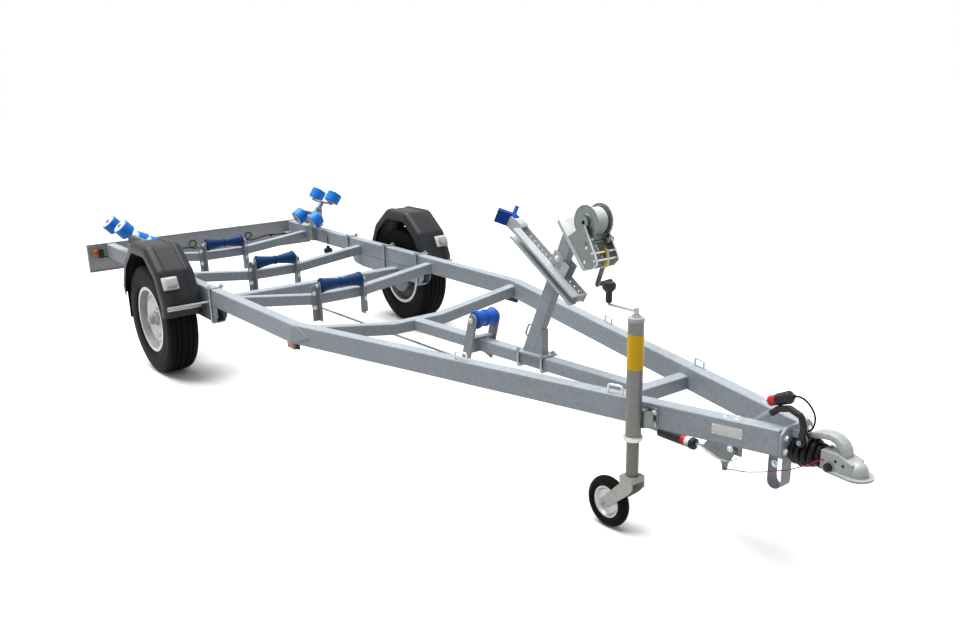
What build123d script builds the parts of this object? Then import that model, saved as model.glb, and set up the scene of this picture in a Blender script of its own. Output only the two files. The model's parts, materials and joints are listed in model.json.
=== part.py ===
# Boat trailer: galvanised V-drawbar frame, torsion axle, keel rollers, swivelling roller cradles at the
# rear, leaning winch post, light board, overrun coupling and a jockey wheel under the right drawbar rail.
# Working frame, mm: X forward from the axle line, Y to the left, Z up from the ground.
# Every solid is moved by -mid_x when it is written, so that the origin is under the trailer's middle.
import os
from math import atan, atan2, cos, degrees, hypot, pi, radians, sin, tan

from build123d import *

os.makedirs("parts", exist_ok=True)

# ---- frame ----
rail_w = 60.0                # side and drawbar rails, box section
rail_h = 100.0
rail_wall = 4.0
rail_corner = 7.0
rail_top = 542.0
wheel_gap = 51.0             # side rail to tyre
rail_rear_x = -1420.0
bend_x = 1375.0              # where the side rails turn into the drawbar
bar_front_x = 3771.0
bar_front_outer = 91.0       # half width over the drawbar rails at their front
beam = 60.0                  # cross members and keel beam, square section
beam_wall = 3.0
beam_corner = 6.0
member_x = [-1165.0, -345.0, 524.0, 1379.0]
member_end_top = [498.0, 502.0, 511.0, 518.0]
member_low_top = 442.0       # top of their flat middle
member_low_half = 155.0      # half length of the flat middle
nose_member_x = 3068.0
nose_member_top = 503.0
keel_rise = 0.0345           # the keel beam climbs towards the coupling
plate = 8.0                  # brackets and base plates
thin = 5.0                   # folded sheet and light brackets
seat = 0.3                   # gap left where one piece sits against another
run_fit = 0.05               # radial clearance of a turning bore on its pin
side_gap = 5.5               # between a turning piece and the fixed one beside it

# ---- axle, wheels and mudguards ----
tyre_r = 325.0
tyre_w = 185.0
track_half = 874.5
rim_seat_r = 178.0
rim_lip_r = 193.0
rim_half = 80.0
hub_r = 34.0
drum_r = 108.0
stub_r = 20.0
axle_tube_w = 70.0
axle_tube_x = 130.0          # the tube lies ahead of the wheel, which hangs on a trailing arm
axle_tube_z = 386.0
arm_w = 24.0
bracket_depth = 92.0         # channel that carries the axle under each side rail
bracket_rear_x = -447.0
bracket_front_x = 458.0
clamp_x = [-487.0, 0.0, 391.0]
clamp_rod_r = 6.0
clamp_bend_r = 7.0           # bend of a U-bolt's middle line, square enough to clear a sharp corner
guard_in = 109.5             # a mudguard's inner and outer sides, from the tyre's middle
guard_out = 110.5
lamp_in = 67.0               # its front lamp's middle, from its outer side
guard_wall = 4.0
guard_lip = 34.0
guard_top = 775.0
guard_half = 350.0           # half length of a mudguard
guard_front_z = 400.0
guard_rear_z = 430.0
flap_z = 270.0
stay_w = 34.0
stay_z = 462.0

# ---- rollers ----
keel_roller_half = 137.0
keel_roller_r = 45.0
keel_roller_waist_r = 26.0
keel_roller_z = 500.0
upright_w = 44.0               # angle bars that carry the keel rollers
upright_t = 6.0
upright_low_z = 285.0
pin_r = 8.0
nose_roller_x = 1985.0
nose_roller_z = 566.0
nose_roller_half = 61.0
nose_roller_r = 46.0
nose_bar_w = 60.0
nose_bar_low_z = 345.0
nose_bar_lean = 17.0
cradle_x = -985.0
cradle_out = {"left": 42.0, "right": 22.0}       # pivot beyond the rail's inner face; the right-hand one is lower
cradle_z = {"left": 681.0, "right": 640.0}
cradle_tilt = {"left": 42.4, "right": 35.0}      # degrees the outer end hangs above the inner one
cradle_vee = 12.0            # each half of the arm is turned up by this
cradle_reach = 110.0         # pivot to the middle of a roller
cradle_span = 240.0          # fore and aft between rollers
cradle_roller_r = 55.0
cradle_roller_w = 75.0
cradle_pin_r = 10.0
cradle_post_w = 50.0
cradle_post_d = 38.0

# ---- winch post, bow stop and winch ----
post_foot_x = 2333.0
post_lean = 25.3             # degrees forward of upright
post_d = 70.0                # fore and aft
post_w = 40.0
post_wall = 4.0
base_x = [2270.0, 2466.0]
base_w = 96.0
stub_front_x = 2434.0
stub_top_z = 602.0
arm_rear = (2236.0, 1052.6)  # middle of the bow arm's rear end, X and Z
arm_len = 508.0
arm_fall = 31.4              # the bow arm falls towards the front by this
arm_depth = 50.0
arm_flange = 40.0
arm_sheet = 3.0
channel_start = 46.0         # the right-hand channel begins this far along the arm
arm_hole_r = 5.0             # round holes in the plate on the left
arm_hole_step = 31.0
stop_h = 68.0                # height of the bow stop
stop_body = 15.0             # half width of its stem
stop_body_front = -14.0      # the rest of its places are measured along the arm, aft of the arm's end
stop_neck = -36.0
stop_apex = -49.4
stop_tip = (-79.0, 62.0)     # outer corner of a wing
stop_mouth = (-93.8, 48.5)   # its rear corner
stop_cheek_t = 6.0
winch_x = 2680.0             # middle of the winch plate's top face
winch_z = 1031.0
winch_fall = 49.3
winch_plate_l = 250.0
winch_plate_w = 126.0
winch_side_half = 62.0
drum_along = -40.0           # drum axis in the winch's own frame, along and above its plate
drum_above = 109.0
flange_r = 71.0
flange_half = 39.0
barrel_r = 26.0
rope_r = 56.0
gear_module = 3.0
gear_teeth = 44
pinion_teeth = 14
gear_w = 8.0
gear_y = 50.0
crank_drop = 38.0            # crankshaft below the drum axis, square to the plate
crank_len = 223.0
crank_angle = -62.0
crank_shaft_r = 8.0

# ---- light board ----
board_x = -1450.0
board_half = 860.0
board_top = 545.0
board_h = 195.0
board_d = 24.0
lamp_d = 46.0

# ---- coupling ----
hitch_z = 462.0              # overrun shaft axis
shaft_r = 24.0
ball_x = 4026.0
ball_z = 448.0
ball_r = 25.0
ball_clear = 0.4
dome_r = 37.0
head_rear_x = 3903.0
head_top = 498.0
head_bottom = 428.0
head_half = 33.0
lip = 19.0
lip_t = 8.0
front_plate_w = 182.0
front_plate_t = 14.0
tongue_low_z = 284.0

lever_y = -52.0
lever_r = 12.0
lug_y = (-39.5, -33.0)
lug_len = 66.0
lug_z = (32.0, 66.0)         # above the overrun shaft
lever_pin_above = 46.0
plug_rear = (3687.0, -40.0, 616.3)
plug_rise = 24.0             # degrees the parked plug points up
plug_len = 110.6
brake_y = -22.0

# ---- cables ----
light_cable_r = 3.0
plug_cable_r = 3.5
breakaway_r = 2.0
cable_seat = 1.3             # a cable's end stops this far from what it enters, as it comes in at a slant

# ---- jockey wheel ----
jockey_x = 3266.0
jockey_out = 60.1085         # the tube's middle beyond the drawbar rail's outer face
jockey_tube_r = 30.0
jockey_wall = 3.0
jockey_low_z = 407.0
jockey_top_z = 880.0
jockey_inner_r = 24.0
jockey_wheel_r = 105.0
jockey_wheel_w = 48.0
jockey_trail = 122.0
fork_pivot_z = 232.0
jockey_crank_len = 150.0

# ---- worked out ----
rail_outer = track_half - tyre_w / 2 - wheel_gap            # half width over the side rails
guard_inner = track_half - guard_in
guard_outer = track_half + guard_out
bar_turn = atan2(rail_outer - bar_front_outer, bar_front_x - bend_x)
bar_slope = tan(bar_turn)
rail_low = rail_top - rail_h
rail_inner = rail_outer - rail_w
cradle_y = {word: rail_inner + cradle_out[word] for word in cradle_out}
rail_mid = rail_outer - rail_w / 2
nose_x = ball_x + dome_r + lip
tail_x = board_x - board_d / 2 - lamp_d
mid_x = (nose_x + tail_x) / 2
both = (-1, 1)
named = {"right": -1, "left": 1}


def put(name, *solids):
    """Write one node, moved so that the origin is under the middle of the trailer."""
    moved = [Pos(-mid_x, 0, 0) * s for s in solids]
    export_step(moved[0] if len(moved) == 1 else Compound(children=moved), f"parts/{name}.step")


def outline(points):
    return make_face(Polyline(*points, close=True))


def prism_xz(face, y0, y1):
    """Outline in X and Z, as thick as y0 to y1."""
    return extrude(Plane.XZ.offset(-y0) * face, -(y1 - y0))


def prism_yz(face, x0, x1):
    """Outline in Y and Z, as thick as x0 to x1."""
    return extrude(Plane.YZ.offset(x0) * face, x1 - x0)


def prism_xy(face, z0, z1):
    """Outline in X and Y, as thick as z0 to z1."""
    return extrude(Plane.XY.offset(z0) * face, z1 - z0)


def block(x0, x1, y0, y1, z0, z1):
    return Pos((x0 + x1) / 2, (y0 + y1) / 2, (z0 + z1) / 2) * Box(abs(x1 - x0), abs(y1 - y0), abs(z1 - z0))


def rod(a, b, r):
    """Round bar from point a to point b."""
    a, b = Vector(*a), Vector(*b)
    return extrude(Plane(origin=a, z_dir=b - a) * Circle(r), (b - a).length)


def disc_y(x, z, y0, y1, r):
    return rod((x, y0, z), (x, y1, z), r)


def section_plane(start, heading):
    """Plane across a bar: its x runs level to the side, its y runs up."""
    heading = Vector(*heading).normalized()
    side = Vector(0, 0, 1).cross(heading).normalized()
    return Plane(origin=start, x_dir=side, z_dir=heading)


def box_tube(a, b, w, h, wall, corner):
    """Hollow box section from a to b."""
    a, b = Vector(*a), Vector(*b)
    ring = RectangleRounded(w, h, corner) - RectangleRounded(w - 2 * wall, h - 2 * wall, corner - wall / 2)
    return extrude(section_plane(a, b - a) * ring, (b - a).length)


def mirrored(solid):
    return mirror(solid, about=Plane.XZ)


def pair(right):
    """The right-hand solid and its mirror image."""
    return [right, mirrored(right)]


def bar_outer_at(x):
    """Half width over the drawbar rails at a station."""
    return rail_outer - (x - bend_x) * bar_slope


def bar_inner_at(x):
    return bar_outer_at(x) - rail_w / cos(bar_turn)


def keel_top_at(x):
    return member_low_top - 2 + (x - member_x[3]) * keel_rise


def keep_side(solid, point, normal, wanted):
    """Cut by a plane and keep the side that the normal points to, or the other."""
    return split(solid, bisect_by=Plane(origin=point, z_dir=normal), keep=Keep.TOP if wanted > 0 else Keep.BOTTOM)


# ================= frame =================
mitre_point = (bend_x, -rail_outer, 0)
mitre_normal = (cos(bar_turn / 2), sin(bar_turn / 2), 0)
rail_z = rail_top - rail_h / 2
corner_mid = (bend_x - rail_w / 2 * tan(bar_turn / 2), -rail_mid, rail_z)


def bar_point(distance, z=rail_z):
    """Point on the right drawbar rail's middle line, measured from the bend."""
    return (corner_mid[0] + distance * cos(bar_turn), corner_mid[1] + distance * sin(bar_turn), z)


def rail_pair(hollow):
    """Right side rail and right drawbar rail, hollow or as plain bars for cutting."""
    wall = rail_wall if hollow else rail_w / 2 - 1
    straight = box_tube((rail_rear_x, -rail_mid, rail_z), (bend_x + rail_w, -rail_mid, rail_z),
                        rail_w, rail_h, wall, rail_corner) if hollow else \
        block(rail_rear_x, bend_x + rail_w, -rail_outer, -rail_inner, rail_low - 90, rail_top + 60)
    reach = (bar_front_x - corner_mid[0]) / cos(bar_turn) + rail_w
    if hollow:
        slanted = box_tube(bar_point(-rail_w), bar_point(reach), rail_w, rail_h, wall, rail_corner)
    else:
        slanted = extrude(section_plane(bar_point(-rail_w), (cos(bar_turn), sin(bar_turn), 0))
                          * Rectangle(rail_w, rail_h + 180), reach + rail_w)
    straight = keep_side(straight, mitre_point, mitre_normal, -1)
    slanted = keep_side(slanted, mitre_point, mitre_normal, 1)
    slanted = keep_side(slanted, (bar_front_x, 0, 0), (1, 0, 0), -1)
    return straight, slanted


side_rail, drawbar_rail = rail_pair(True)
plain_side, plain_bar = rail_pair(False)
tail_cap = block(rail_rear_x, rail_rear_x + rail_wall, -rail_outer + rail_wall, -rail_inner - rail_wall,
                 rail_low + rail_wall, rail_top - rail_wall)
side_rail = side_rail + tail_cap
put("side_rails", *pair(side_rail))

# the drawbar rails carry a pointed closing plate over the bend, on their outer faces
tip_len = 128.0
tip_low, tip_high = rail_low + rail_corner, rail_top - rail_corner
tip_plane = Plane(origin=(bend_x, -rail_outer, 0), x_dir=(cos(bar_turn), sin(bar_turn), 0),
                  z_dir=(sin(bar_turn), -cos(bar_turn), 0))
tip = extrude(tip_plane * outline([(1, tip_low), (22, tip_low), (tip_len, rail_z), (44, tip_high), (1, tip_high)]),
              thin)
put("drawbar_rails", *pair(drawbar_rail + tip))

rails_right = plain_side + plain_bar
rails_left = mirrored(rails_right)


def cross_member(x, end_top):
    """Square tube that falls to a flat middle between the rails."""
    reach = rail_inner + 20
    fall = (end_top - member_low_top) / (rail_inner - member_low_half)
    end_z = end_top + fall * 20 - beam / 2
    low_z = member_low_top - beam / 2
    route = Polyline((x, -reach, end_z), (x, -member_low_half, low_z), (x, member_low_half, low_z),
                     (x, reach, end_z))
    start = Plane(origin=(x, -reach, end_z), x_dir=(1, 0, 0), z_dir=route % 0)
    outside = sweep(start * RectangleRounded(beam, beam, beam_corner), path=route, transition=Transition.RIGHT)
    inside = sweep(start * RectangleRounded(beam - 2 * beam_wall, beam - 2 * beam_wall, beam_corner / 2),
                   path=route, transition=Transition.RIGHT)
    return outside - inside - rails_right - rails_left


members = [cross_member(x, top) for x, top in zip(member_x, member_end_top)]
nose_member = box_tube((nose_member_x, -bar_inner_at(nose_member_x) - beam, nose_member_top - beam / 2),
                       (nose_member_x, bar_inner_at(nose_member_x) + beam, nose_member_top - beam / 2),
                       beam, beam, beam_wall, beam_corner) - rails_right - rails_left


def whole(shape, near):
    """The one solid of a cut shape whose middle lies nearest a point."""
    return min(shape.solids(), key=lambda s: (s.center() - Vector(*near)).length)


members = [whole(m, (x, 0, member_low_top)) for m, x in zip(members, member_x)]
nose_member = whole(nose_member, (nose_member_x, 0, nose_member_top))
put("cross_members", *members, nose_member)

keel_rear_x = member_x[3] + beam / 2
keel_front_x = nose_member_x - beam / 2


def keel_mid(x):
    return (x, 0, keel_top_at(x) - beam / 2)


keel = box_tube(keel_mid(keel_rear_x - beam), keel_mid(keel_front_x + beam), beam, beam, beam_wall, beam_corner)
keel = keep_side(keel, (keel_rear_x, 0, 0), (1, 0, 0), 1)
keel = keep_side(keel, (keel_front_x, 0, 0), (1, 0, 0), -1)
put("keel_beam", keel)

# rope eyes: bent round bar welded to the drawbar rails
eye_x = [2392.0, 3128.0]
eye_l, eye_h, eye_r = 62.0, 38.0, 5.0


def rope_eye(x):
    """Staple of round bar standing along the rail's top, its feet on the rail."""
    inset = 16.0
    side = section_plane((x, -(bar_outer_at(x) - inset / cos(bar_turn)), 0), (cos(bar_turn), sin(bar_turn), 0))
    ahead, up = side.z_dir, Vector(0, 0, 1)
    foot = side.origin + up * rail_top
    points = [foot - ahead * eye_l / 2, foot - ahead * eye_l / 2 + up * (eye_h - eye_r),
              foot + ahead * eye_l / 2 + up * (eye_h - eye_r), foot + ahead * eye_l / 2]
    route = FilletPolyline(*points, radius=eye_r * 2)
    return sweep(Plane(origin=points[0], z_dir=(0, 0, 1)) * Circle(eye_r), path=route)


eyes = [s for x in eye_x for s in pair(rope_eye(x))]
put("rope_eyes", *eyes)

# ================= axle =================
bracket_low = rail_low - bracket_depth
bracket_face = outline([(bracket_rear_x, rail_low), (bracket_rear_x, rail_low - 24),
                        (bracket_rear_x + 32, rail_low - 70), (bracket_rear_x + 150, bracket_low + 6),
                        (bracket_front_x - 38, bracket_low), (bracket_front_x, bracket_low + 40),
                        (bracket_front_x, rail_low)])


def bracket_low_at(x):
    """Underside of the axle bracket, or of the rail beside it."""
    if x < bracket_rear_x:
        return rail_low
    rear, front = bracket_rear_x + 150, bracket_front_x - 38
    return bracket_low + 6 * max(0.0, (front - x) / (front - rear))


bracket = prism_xz(bracket_face, -rail_outer, -rail_inner)
bracket -= block(bracket_rear_x - 1, bracket_front_x + 1, -rail_outer + thin, -rail_inner - thin,
                 bracket_low + thin, rail_low + 1)
tube_hole = axle_tube_w + 2 * seat
bracket -= Pos(axle_tube_x, -rail_mid, axle_tube_z) * Rot(90, 0, 0) * extrude(
    RectangleRounded(tube_hole, tube_hole, 10), rail_w, both=True)
put("axle_brackets", *pair(bracket))

arm_in = rail_outer + 20                       # inner face of a trailing arm
arm_out = arm_in + arm_w
back_out = track_half - rim_half - side_gap    # outer face of a backplate
back_in = back_out - 9
drum_in = track_half - rim_half + side_gap
axle = box_tube((axle_tube_x, -arm_in, axle_tube_z), (axle_tube_x, arm_in, axle_tube_z),
                axle_tube_w, axle_tube_w, 6, 9)
arm_big, arm_small = 46.0, 36.0


def trailing_arm(side):
    """Arm, backplate and stub of one wheel."""
    big = disc_y(axle_tube_x, axle_tube_z, side * arm_in, side * arm_out, arm_big)
    small = disc_y(0, tyre_r, side * arm_in, side * (back_in + 1), arm_small)
    web_half = 30.0
    along = Vector(axle_tube_x, 0, axle_tube_z - tyre_r).normalized()
    across = Vector(-along.Z, 0, along.X) * web_half
    ends = [(across.X, tyre_r + across.Z), (-across.X, tyre_r - across.Z),
            (axle_tube_x - across.X, axle_tube_z - across.Z), (axle_tube_x + across.X, axle_tube_z + across.Z)]
    web = prism_xz(outline(ends), side * arm_in, side * arm_out)
    back = disc_y(0, tyre_r, side * back_in, side * back_out, drum_r + 4)
    stub = disc_y(0, tyre_r, side * back_out, side * (track_half - 20), stub_r)
    return big + small + web + back + stub


put("axle", axle + trailing_arm(-1) + trailing_arm(1))

# wheels: pressed steel rim with its hub and drum, and a road tyre
disc_t = 5.0
vent_count = 12


def rim(side):
    """Rim, disc, hub and brake drum turned about the wheel's own axle."""
    well = rim_seat_r - 22
    barrel = [(-rim_half, rim_lip_r), (-rim_half + 5, rim_lip_r), (-rim_half + 5, rim_seat_r),
              (-24, rim_seat_r), (-12, well + 4), (24, well + 4), (36, rim_seat_r), (rim_half - 5, rim_seat_r),
              (rim_half - 5, rim_lip_r), (rim_half, rim_lip_r), (rim_half, rim_seat_r - 4),
              (34, rim_seat_r - 4), (22, well), (-10, well), (-22, rim_seat_r - 4), (-rim_half, rim_seat_r - 4)]
    dish = [(well + 1, 20), (well - 8, 30), (132, 50), (118, 54), (96, 34), (76, 30), (26, 30), (26, 25),
            (78, 25), (99, 29), (119, 48), (130, 44), (well - 12, 25), (well + 1, 14)]
    drum = [(0, -20), (drum_r - 8, -20), (drum_r, -28), (drum_r, -rim_half + side_gap), (drum_r - 7, -rim_half + side_gap),
            (drum_r - 7, -30), (0, -30)]
    turned = revolve(outline([(r, a) for a, r in barrel]), axis=Axis.Y)
    plate_part = revolve(outline(dish), axis=Axis.Y)
    for k in range(vent_count):
        slot = Rot(0, 360 / vent_count * k, 0) * Pos(well - 22, 40, 0) * Rot(90, 0, 0) * extrude(
            SlotOverall(30, 15, rotation=90), 30, both=True)
        plate_part -= slot
    hub = Pos(0, -2, 0) * Rot(90, 0, 0) * Cylinder(hub_r, 140)
    cap = Pos(0, 74, 0) * Rot(90, 0, 0) * Cylinder(hub_r - 4, 16)
    flange = Pos(0, 21, 0) * Rot(90, 0, 0) * Cylinder(74, 8)
    body = turned + plate_part + hub + cap + flange + revolve(outline(drum), axis=Axis.Y)
    depth = rim_half - 20 + side_gap
    body -= Pos(0, -rim_half - 12, 0) * Rot(-90, 0, 0) * Pos(0, 0, 0) * Cylinder(
        stub_r + run_fit, rim_half - 8, align=(Align.CENTER, Align.CENTER, Align.MIN))
    if side < 0:
        body = mirrored(body)
    return Pos(0, side * track_half, tyre_r) * body


def tyre(side):
    """Closed tyre ring with a crowned tread and round sidewalls."""
    half = tyre_w / 2
    bead = rim_half - 5 - seat
    grip = rim_seat_r + seat
    lip_over = rim_lip_r + seat
    flank = rim_lip_r + (tyre_r - rim_lip_r) * 0.5
    line = Polyline((grip, -bead), (lip_over, -bead), (lip_over + 4, -half + 10))
    line += ThreePointArc((lip_over + 4, -half + 10), (flank, -half), (tyre_r - 20, -half + 9))
    line += ThreePointArc((tyre_r - 20, -half + 9), (tyre_r - 9, -half + 14), (tyre_r - 5, -half + 26))
    line += ThreePointArc((tyre_r - 5, -half + 26), (tyre_r, 0), (tyre_r - 5, half - 26))
    line += ThreePointArc((tyre_r - 5, half - 26), (tyre_r - 9, half - 14), (tyre_r - 20, half - 9))
    line += ThreePointArc((tyre_r - 20, half - 9), (flank, half), (lip_over + 4, half - 10))
    line += Polyline((lip_over + 4, half - 10), (lip_over, bead), (grip, bead), (grip, -bead))
    return Pos(0, side * track_half, tyre_r) * revolve(make_face(line), axis=Axis.Y)


for word, side in named.items():
    put(f"rim_{word}", rim(side))
    put(f"tyre_{word}", tyre(side))

# U-bolts: over each rail and the axle bracket, and over the keel beam under the winch post
rod_off = clamp_rod_r + seat


def u_bolt(x, y_a, y_b, low_z, top_z, plate_t, plated=True):
    """U-bolt from below, with a plate and nuts on top."""
    ya, yb, low, high = y_a - rod_off, y_b + rod_off, low_z - rod_off, top_z + plate_t + 12
    route = FilletPolyline((x, ya, high), (x, ya, low), (x, yb, low), (x, yb, high), radius=clamp_bend_r)
    u = sweep(Plane(origin=(x, ya, high), z_dir=(0, 0, -1)) * Circle(clamp_rod_r), path=route)
    if plated:
        u += block(x - 16, x + 16, ya - 14, yb + 14, top_z + seat, top_z + plate_t)
    for y in (ya, yb):
        u += prism_xy(Pos(x, y) * RegularPolygon(10, 6), top_z + plate_t - 0.5, top_z + plate_t + 8)
    return u


rail_clamps = []
for x in clamp_x:
    low = bracket_low_at(x) - seat
    rail_clamps += pair(u_bolt(x, -rail_outer, -rail_inner, low, rail_top, 6.0))
keel_clamp_x = [2284.0, 2448.0]

# mudguards
guard_corner = 32.0


def guard_face():
    """Side outline of a mudguard, closed well below its open bottom."""
    g, t = guard_half, guard_top
    face = outline([(-g, 150), (-g, 500), (-g + 76, t - 122), (-g + 232, t), (g - 232, t), (g - 76, t - 122),
                    (g, 500), (g, 150)])
    upper = [v for v in face.vertices() if v.Y > 200]
    return fillet(upper, guard_corner)


def mudguard():
    """Right mudguard: a skin with turned-in side lips and a flap behind the wheel."""
    face = guard_face()
    shell = prism_xz(face, -guard_outer, -guard_inner)
    shell = fillet([e for e in shell.edges() if e.center().Z > 200 and abs(abs(e.center().Y) - (guard_inner + guard_outer) / 2) > (guard_outer - guard_inner) / 2 - 10], 10)
    shell -= prism_xz(offset(face, amount=-guard_wall), -guard_outer + guard_wall, -guard_inner - guard_wall)
    shell -= prism_xz(offset(face, amount=-guard_lip), -guard_outer - 1, -guard_inner + 1)
    shell -= block(0, guard_half + 9, -guard_outer - 1, -guard_inner + 1, 100, guard_front_z)
    shell -= block(-guard_half - 9, 0, -guard_outer - 1, -guard_inner + 1, 100, guard_rear_z)
    flap = block(-guard_half, -guard_half + guard_wall, -guard_outer + 28, -guard_inner - 16, flap_z, guard_rear_z + 6)
    return shell + flap


right_guard = mudguard()
put("mudguard_right", right_guard)
put("mudguard_left", mirrored(right_guard))

stays = []
for end in both:
    x_in, x_out = end * (guard_half + seat), end * (guard_half + seat + stay_w)
    bar = block(x_in, x_out, -guard_outer + 12, -rail_outer, stay_z, stay_z + 6)
    bar += block(x_in, x_in + end * 6, -guard_outer + 12, -guard_inner - 10, stay_z - 28, stay_z + 6)
    stays += pair(bar)
put("mudguard_stays", *stays)

# marker lamps: white position lamps on the mudguards, amber ones under the side rails
slope_top = (guard_half - 76, guard_top - 122)
slope_low = (guard_half, 500.0)
slope_mid = ((slope_top[0] + slope_low[0]) / 2, (slope_top[1] + slope_low[1]) / 2)
slope_out = Vector(slope_top[1] - slope_low[1], 0, slope_low[0] - slope_top[0]).normalized()
lamp_y = -guard_outer + lamp_in
lamp_plane = Plane(origin=(slope_mid[0], lamp_y, slope_mid[1]), x_dir=(0, 1, 0), z_dir=slope_out)
front_lamp = extrude(lamp_plane.offset(seat) * RectangleRounded(84, 96, 12), 26)
front_lamp += extrude(lamp_plane.offset(26) * RectangleRounded(62, 72, 20), 20)
side_lamp = block(1288, 1384, -rail_outer + 2, -rail_outer + 30, rail_low - seat - 40, rail_low - seat)
side_lamp = fillet(side_lamp.edges().filter_by(Axis.Y), 8)
put("marker_lamps", *pair(front_lamp), *pair(side_lamp))


# ================= keel rollers =================
def keel_roller(half, end_r, waist_r, bore_r):
    """Waisted rubber roller with end flanges, a middle rib and a bore."""
    return [(bore_r, -half), (end_r - 7, -half), (end_r, -half + 6), (end_r, -half + 14), (end_r - 4, -half + 20),
            (waist_r, -16), (waist_r, -6), (waist_r + 4, -4), (waist_r + 4, 4), (waist_r, 6), (waist_r, 16),
            (end_r - 4, half - 20), (end_r, half - 14), (end_r, half - 6), (end_r - 7, half), (bore_r, half)]


roller_x = [x + beam / 2 + seat + upright_w / 2 for x in member_x[:3]]
brackets = []
for i, x in enumerate(roller_x):
    profile = keel_roller(keel_roller_half, keel_roller_r, keel_roller_waist_r, pin_r + run_fit)
    put(f"keel_roller_{i + 1}", Pos(x, 0, keel_roller_z) * revolve(outline(profile), axis=Axis.Y))
    pin_half = keel_roller_half + side_gap + upright_t + 6
    frame_part = disc_y(x, keel_roller_z, -pin_half, pin_half, pin_r)
    for side in both:
        y_in = side * (keel_roller_half + side_gap)
        y_out = y_in + side * upright_t
        x_back = x - upright_w / 2
        web = block(x_back, x_back + upright_w, y_in, y_out, upright_low_z, keel_roller_z)
        web += disc_y(x, keel_roller_z, y_in, y_out, upright_w / 2)
        foot = outline([(y_out - side, upright_low_z), (y_out + side * (upright_w - upright_t), upright_low_z),
                        (y_out + side * (upright_w - upright_t), keel_roller_z - 12),
                        (y_out + side * (upright_w - upright_t - 14), keel_roller_z + 6),
                        (y_out - side, keel_roller_z + 6)])
        frame_part += web + prism_yz(foot, x_back, x_back + upright_t)
        frame_part += disc_y(x, keel_roller_z, y_in, y_in - side * (side_gap - 1), pin_r + 6)
    brackets.append(frame_part)

lean = radians(nose_bar_lean)
nose_bar_len = (nose_roller_z - nose_bar_low_z) / cos(lean)
nose_bar_plane = Plane(origin=(nose_roller_x, 0, nose_roller_z), x_dir=(cos(lean), 0, -sin(lean)), z_dir=(0, -1, 0))
profile = keel_roller(nose_roller_half, nose_roller_r, nose_roller_r - 8, pin_r + run_fit)
put("keel_roller_4", Pos(nose_roller_x, 0, nose_roller_z) * revolve(outline(profile), axis=Axis.Y))
nose_bracket = disc_y(nose_roller_x, nose_roller_z, -nose_roller_half - side_gap - plate - 6,
                      nose_roller_half + side_gap + plate + 6, pin_r)
for side in both:
    y_in = side * (nose_roller_half + side_gap)
    face = Rectangle(nose_bar_w, nose_bar_len, align=(Align.CENTER, Align.MAX)) + Circle(nose_bar_w / 2)
    nose_bracket += extrude(nose_bar_plane.offset(-y_in - (plate if side > 0 else 0)) * face, plate)
    nose_bracket += disc_y(nose_roller_x, nose_roller_z, y_in, y_in - side * (side_gap - 1), pin_r + 6)
bridge_x = nose_roller_x - tan(lean) * (nose_roller_z - keel_top_at(nose_roller_x))
bridge_z = keel_top_at(bridge_x)
keel_tilt = degrees(atan(keel_rise))
bridge = Pos(bridge_x, 0, bridge_z) * Rot(0, -keel_tilt, 0) * Pos(0, 0, plate / 2 + seat) * Box(
    nose_bar_w - 12, 2 * (nose_roller_half + side_gap) + 2, plate)
nose_bracket += bridge
under = Pos(bridge_x, 0, bridge_z) * Rot(0, -keel_tilt, 0) * Pos(-18, 0, -beam - plate / 2 - seat) * Box(
    nose_bar_w - 24, 2 * (nose_roller_half + side_gap) + 2, plate)
nose_bracket += under
brackets.append(nose_bracket)


# ================= rear roller cradles =================
def tilt_plane(word, angle, distance):
    """Plane across a cradle half: its z runs outboard along that half, its x runs forward."""
    a = radians(angle)
    ahead = Vector(1, 0, 0)
    out = Vector(0, named[word] * cos(a), sin(a))
    pivot = Vector(cradle_x, named[word] * cradle_y[word], cradle_z[word])
    return Plane(origin=pivot + out * distance, x_dir=ahead, z_dir=out)


link_in, link_t, link_h = 56.0, 8.0, 40.0
cradle_arm_w = 30.0
axle_end = cradle_reach + cradle_roller_w / 2 + 9


def pivot_rod(word, half, r):
    """Round bar along a cradle's pivot, as long as half each way."""
    y, z = named[word] * cradle_y[word], cradle_z[word]
    return rod((cradle_x - half, y, z), (cradle_x + half, y, z), r)


def cradle(word):
    """Arm with a bored hub, two fore-and-aft links and four stub axles."""
    body = pivot_rod(word, cradle_arm_w / 2, 21)
    for end in both:
        angle = cradle_tilt[word] + end * cradle_vee
        body += extrude(tilt_plane(word, angle, 0) * Rectangle(cradle_arm_w, 24), end * (link_in + link_t / 2))
        link = RectangleRounded(cradle_span + 44, link_h, 19)
        body += extrude(tilt_plane(word, angle, end * link_in) * link, end * link_t)
        for fore in both:
            spot = Pos(fore * cradle_span / 2, 0)
            near, far = end * (link_in + link_t / 2), end * axle_end
            body += extrude(tilt_plane(word, angle, near) * spot * Circle(pin_r), far - near)
            shoulder = end * (cradle_reach - cradle_roller_w / 2 - 1)
            body += extrude(tilt_plane(word, angle, near) * spot * Circle(pin_r + 5), shoulder - near)
            body += extrude(tilt_plane(word, angle, end * (axle_end - 8)) * spot * Circle(pin_r + 5), end * 8)
    return body - pivot_rod(word, 40, cradle_pin_r + run_fit)


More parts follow.
